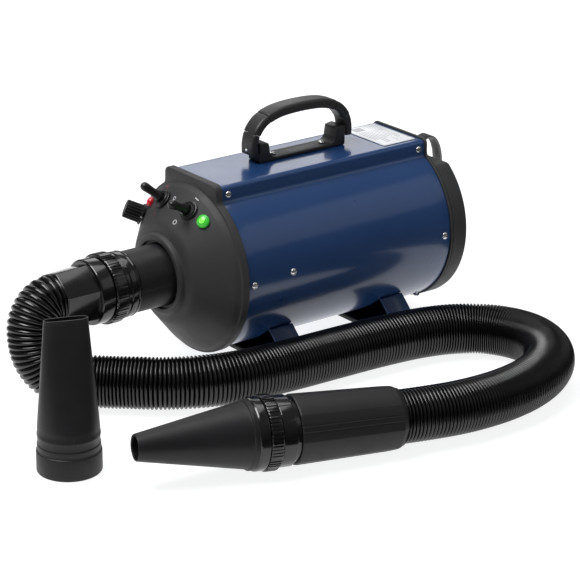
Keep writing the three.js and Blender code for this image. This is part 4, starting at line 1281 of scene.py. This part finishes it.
def add_controls():
    knob = [(1.2, 0), (1.2, 10.5), (1.5, 10.8), (2.6, 10.8), (3.3, 10.2), (3.6, 9.5)]
    knob += [(4.4, 9.35), (8, 9.3), (13, 9.25), (18.4, 9.2), (19.3, 8.9), (19.8, 8.3), (19.9, 7.2)]
    knob += [(19.3, 6.6), (19.1, 3), (19.0, 0)]
    on_cone("speed_knob_cap", knob, "knob", KNOB, "speed_knob", "speed_dial", segments=384,
            wave=knob_wave)
    mark = eased([(-0.7, -1.6), (0.7, -1.6), (0.7, 1.6), (-0.7, 1.6)], 0.3, 3)
    shape = slab(mark, -0.5, 0.75, 0.12, lambda u, v, w: (9.2 + w + 0.9, u, 2.4 + v * 0.6))
    build("knob_pointer", shape, cone_frame("knob") @ Matrix.Rotation(math.radians(28), 4, "Z"),
          INK_WHITE, body="speed_dial")

    for name, stem, radius, color, glow, strength in (
        ("red", 3.8, 5.0, (0.42, 0.004, 0.012), (0.9, 0.02, 0.03), 0.5),
        ("green", 5.0, 6.6, (0.0, 0.36, 0.02), (0.32, 0.9, 0.1), 0.85),
    ):
        dome = [(-9, 0), (-9, stem), (0.9, stem), (0.9, radius - 0.2), (1.1, radius),
                (2.0, radius), (2.5, radius * 0.96)]
        for t in range(1, 7):
            a = t * math.pi / 14
            dome.append((2.5 + 2.5 * math.sin(a), radius * 0.94 * math.cos(a)))
        dome.append((5.0, 0))
        centre = cone_frame(name) @ Vector((0, 0, 3.2))
        material = lens(f"{name}_lens", color, glow, tuple(centre * MM), radius * MM, strength)
        on_cone(f"{name}_lamp_lens", dome, name, material, f"{name}_lamp")

    lever = [(-4.3, 0), (-3.2, 2.9), (0, 4.2), (2.4, 3.5), (3.1, 4.0), (3.8, 4.7), (4.8, 5.0)]
    lever += [(6, 4.9), (8, 4.5), (10, 4.1), (12, 3.95), (15, 3.95), (18, 4.1), (21, 4.3)]
    lever += [(23.2, 4.4), (25, 4.1), (26.3, 3.35), (27.2, 2.15), (27.7, 1.0), (27.8, 0)]
    nut = [(1.0, 6.2), (1.0, 9.4), (1.3, 9.6), (2.0, 9.6), (2.3, 9.2), (2.4, 8.5), (2.8, 8.3),
           (3.9, 8.1), (4.2, 7.7), (4.2, 6.8), (4.0, 6.3), (3.4, 6.2)]

    def nut_wave(x, r, a):
        if r > 8.3 and x > 2.55:
            return r * (1 - 0.05 * smoothstep(0.5 - 0.5 * math.cos(a * 12)))
        return r

    for name, tilt in (("power", 14), ("heat", 0)):
        on_cone(f"{name}_lever_boot", lever, name, BOOT, f"{name}_lever", f"{name}_toggle",
                segments=48, tilt=tilt, lift=1.4)
        on_cone(f"{name}_ring_nut", nut, name, BOOT, f"{name}_nut",
                segments=144, wave=nut_wave, loop=True)

    decal("mark_power_on", 15.8, 79, [bar(0.55, 2.9)], INK_WHITE)
    decal("mark_power_off", 13.2, 56, [oval(2.5, 2.3, 0.75)], INK_WHITE)
    decal("mark_heat_off", -4.9, 71, [oval(2.1, 1.9, 0.65)], INK_WHITE)
    decal("mark_heat_high", -21.6, 80.2, [bar(1.5, 0.42, (0, -1.1)), bar(1.5, 0.42, (0, 1.1))],
          INK_RED)
    decal("mark_heat_low", -23.6, 57.6, [bar(1.8, 0.45)], INK_RED)


# ------------------------------------------------------------------ what stays from CAD

def keep_inside():
    for material, names in (
        (HOUSING, ("speed_control", "power_switch_body", "heat_switch_body")),
        (MOTOR_STEEL, ("motor_mount", "motor_rotor")),
        (CAST, ("motor_housing",)),
        (FAN, ("impeller",)),
        (MICA, ("heater_frame",)),
        (COIL, ("heater_coil",)),
        (BOARD, ("control_board",)),
        (BAND, ("handle_core",)),
    ):
        for name in names:
            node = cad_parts[name]
            node.data.materials.clear()
            node.data.materials.append(material)


# ------------------------------------------------------------------ studio

def add_flag():
    """A black card low in front and to the right, unseen, that darkens low reflections."""
    n = Nodes("studio_flag")
    n.set(Base_Color=n.mix(n.noise(4), rgba((0.006, 0.006, 0.006)), rgba((0.01, 0.01, 0.01))),
          Roughness=0.9)
    mesh = bpy.data.meshes.new("flag")
    far, front, right, beside, height = 9, -0.35, 0.31, 0.1, 0.003
    corners = [
        (-far, -far), (far, -far), (far, front), (right, front), (-far, front), (far, beside),
        (right, beside),
    ]
    mesh.from_pydata([(x, y, height) for x, y in corners], [], [(0, 1, 2, 3, 4), (3, 2, 5, 6)])
    mesh.materials.append(n.material)
    flag = bpy.data.objects.new("flag", mesh)
    flag.visible_camera = False
    flag.visible_shadow = False
    flag.visible_diffuse = False
    scene.collection.objects.link(flag)


def add_studio():
    n = Nodes("studio_floor")
    n.set(
        Base_Color=n.mix(n.swing(1.3, 3), rgba((0.3, 0.3, 0.302)),
                         rgba((0.33, 0.33, 0.332))),
        Emission_Color=(0.99, 0.995, 1.0, 1),
        Emission_Strength=0.87,
        Roughness=n.swing(20, 3, 0.5, 0.6),
        Normal=n.bump(n.noise(900, 2), 0.00002),
    )
    side, steps = 9.0, 8
    verts = [(-side + 2 * side * i / steps, -side + 2 * side * j / steps, -0.0004)
             for j in range(steps + 1) for i in range(steps + 1)]
    faces = [(j * (steps + 1) + i, j * (steps + 1) + i + 1, (j + 1) * (steps + 1) + i + 1,
              (j + 1) * (steps + 1) + i) for j in range(steps) for i in range(steps)]
    mesh = bpy.data.meshes.new("floor")
    mesh.from_pydata(verts, [], faces)
    mesh.materials.append(n.material)
    floor = bpy.data.objects.new("floor", mesh)
    scene.collection.objects.link(floor)

    world = bpy.data.worlds.new("studio")
    scene.world = world
    world.use_nodes = True
    tree = world.node_tree
    background = tree.nodes["Background"]
    background.inputs["Color"].default_value = (0.95, 0.97, 1.0, 1)
    heading = tree.nodes.new("ShaderNodeTexCoord")
    split = tree.nodes.new("ShaderNodeSeparateXYZ")
    rise = tree.nodes.new("ShaderNodeMapRange")
    tree.links.new(heading.outputs["Generated"], split.inputs["Vector"])
    tree.links.new(split.outputs["Z"], rise.inputs["Value"])
    for key, number in (("From Min", 0.05), ("From Max", 0.8), ("To Min", 0.06), ("To Max", 0.24)):
        rise.inputs[key].default_value = number
    tree.links.new(rise.outputs["Result"], background.inputs["Strength"])

    def area(name, at, towards, size, power):
        light = bpy.data.lights.new(name, "AREA")
        light.shape, light.size, light.size_y = "RECTANGLE", *size
        light.energy = power
        lamp = bpy.data.objects.new(name, light)
        lamp.location = at
        aim = Vector(towards) - Vector(at)
        lamp.rotation_euler = aim.to_track_quat("-Z", "Y").to_euler()
        scene.collection.objects.link(lamp)

    area("key", (-0.95, 0.15, 1.85), (0, 0, 0.05), (1.2, 0.8), 33)
    area("top", (0.3, 0.4, 2.0), (0, 0, 0.05), (1.5, 1.2), 13)
    area("side", (1.5, -1.6, 1.5), (0.05, -0.05, 0.08), (1.9, 1.3), 3.5)
    area("back", (0.85, 1.9, 1.1), (0, 0, 0.1), (1.8, 0.8), 7.5)
    add_flag()
    scene.view_settings.view_transform = "Standard"


# ------------------------------------------------------------------ all of it

hose_piece, hose_path, hose_length = add_hose()
add_barrel()
add_front_cap()
add_rear_frame()
add_filter()
add_pull_loop()
add_gland()
add_label()
add_foot("front", 56)
add_foot("rear", 196)
add_handle()
add_screws()
add_outlet()
add_nozzle()
add_flat_nozzle()
add_controls()
keep_inside()
add_studio()
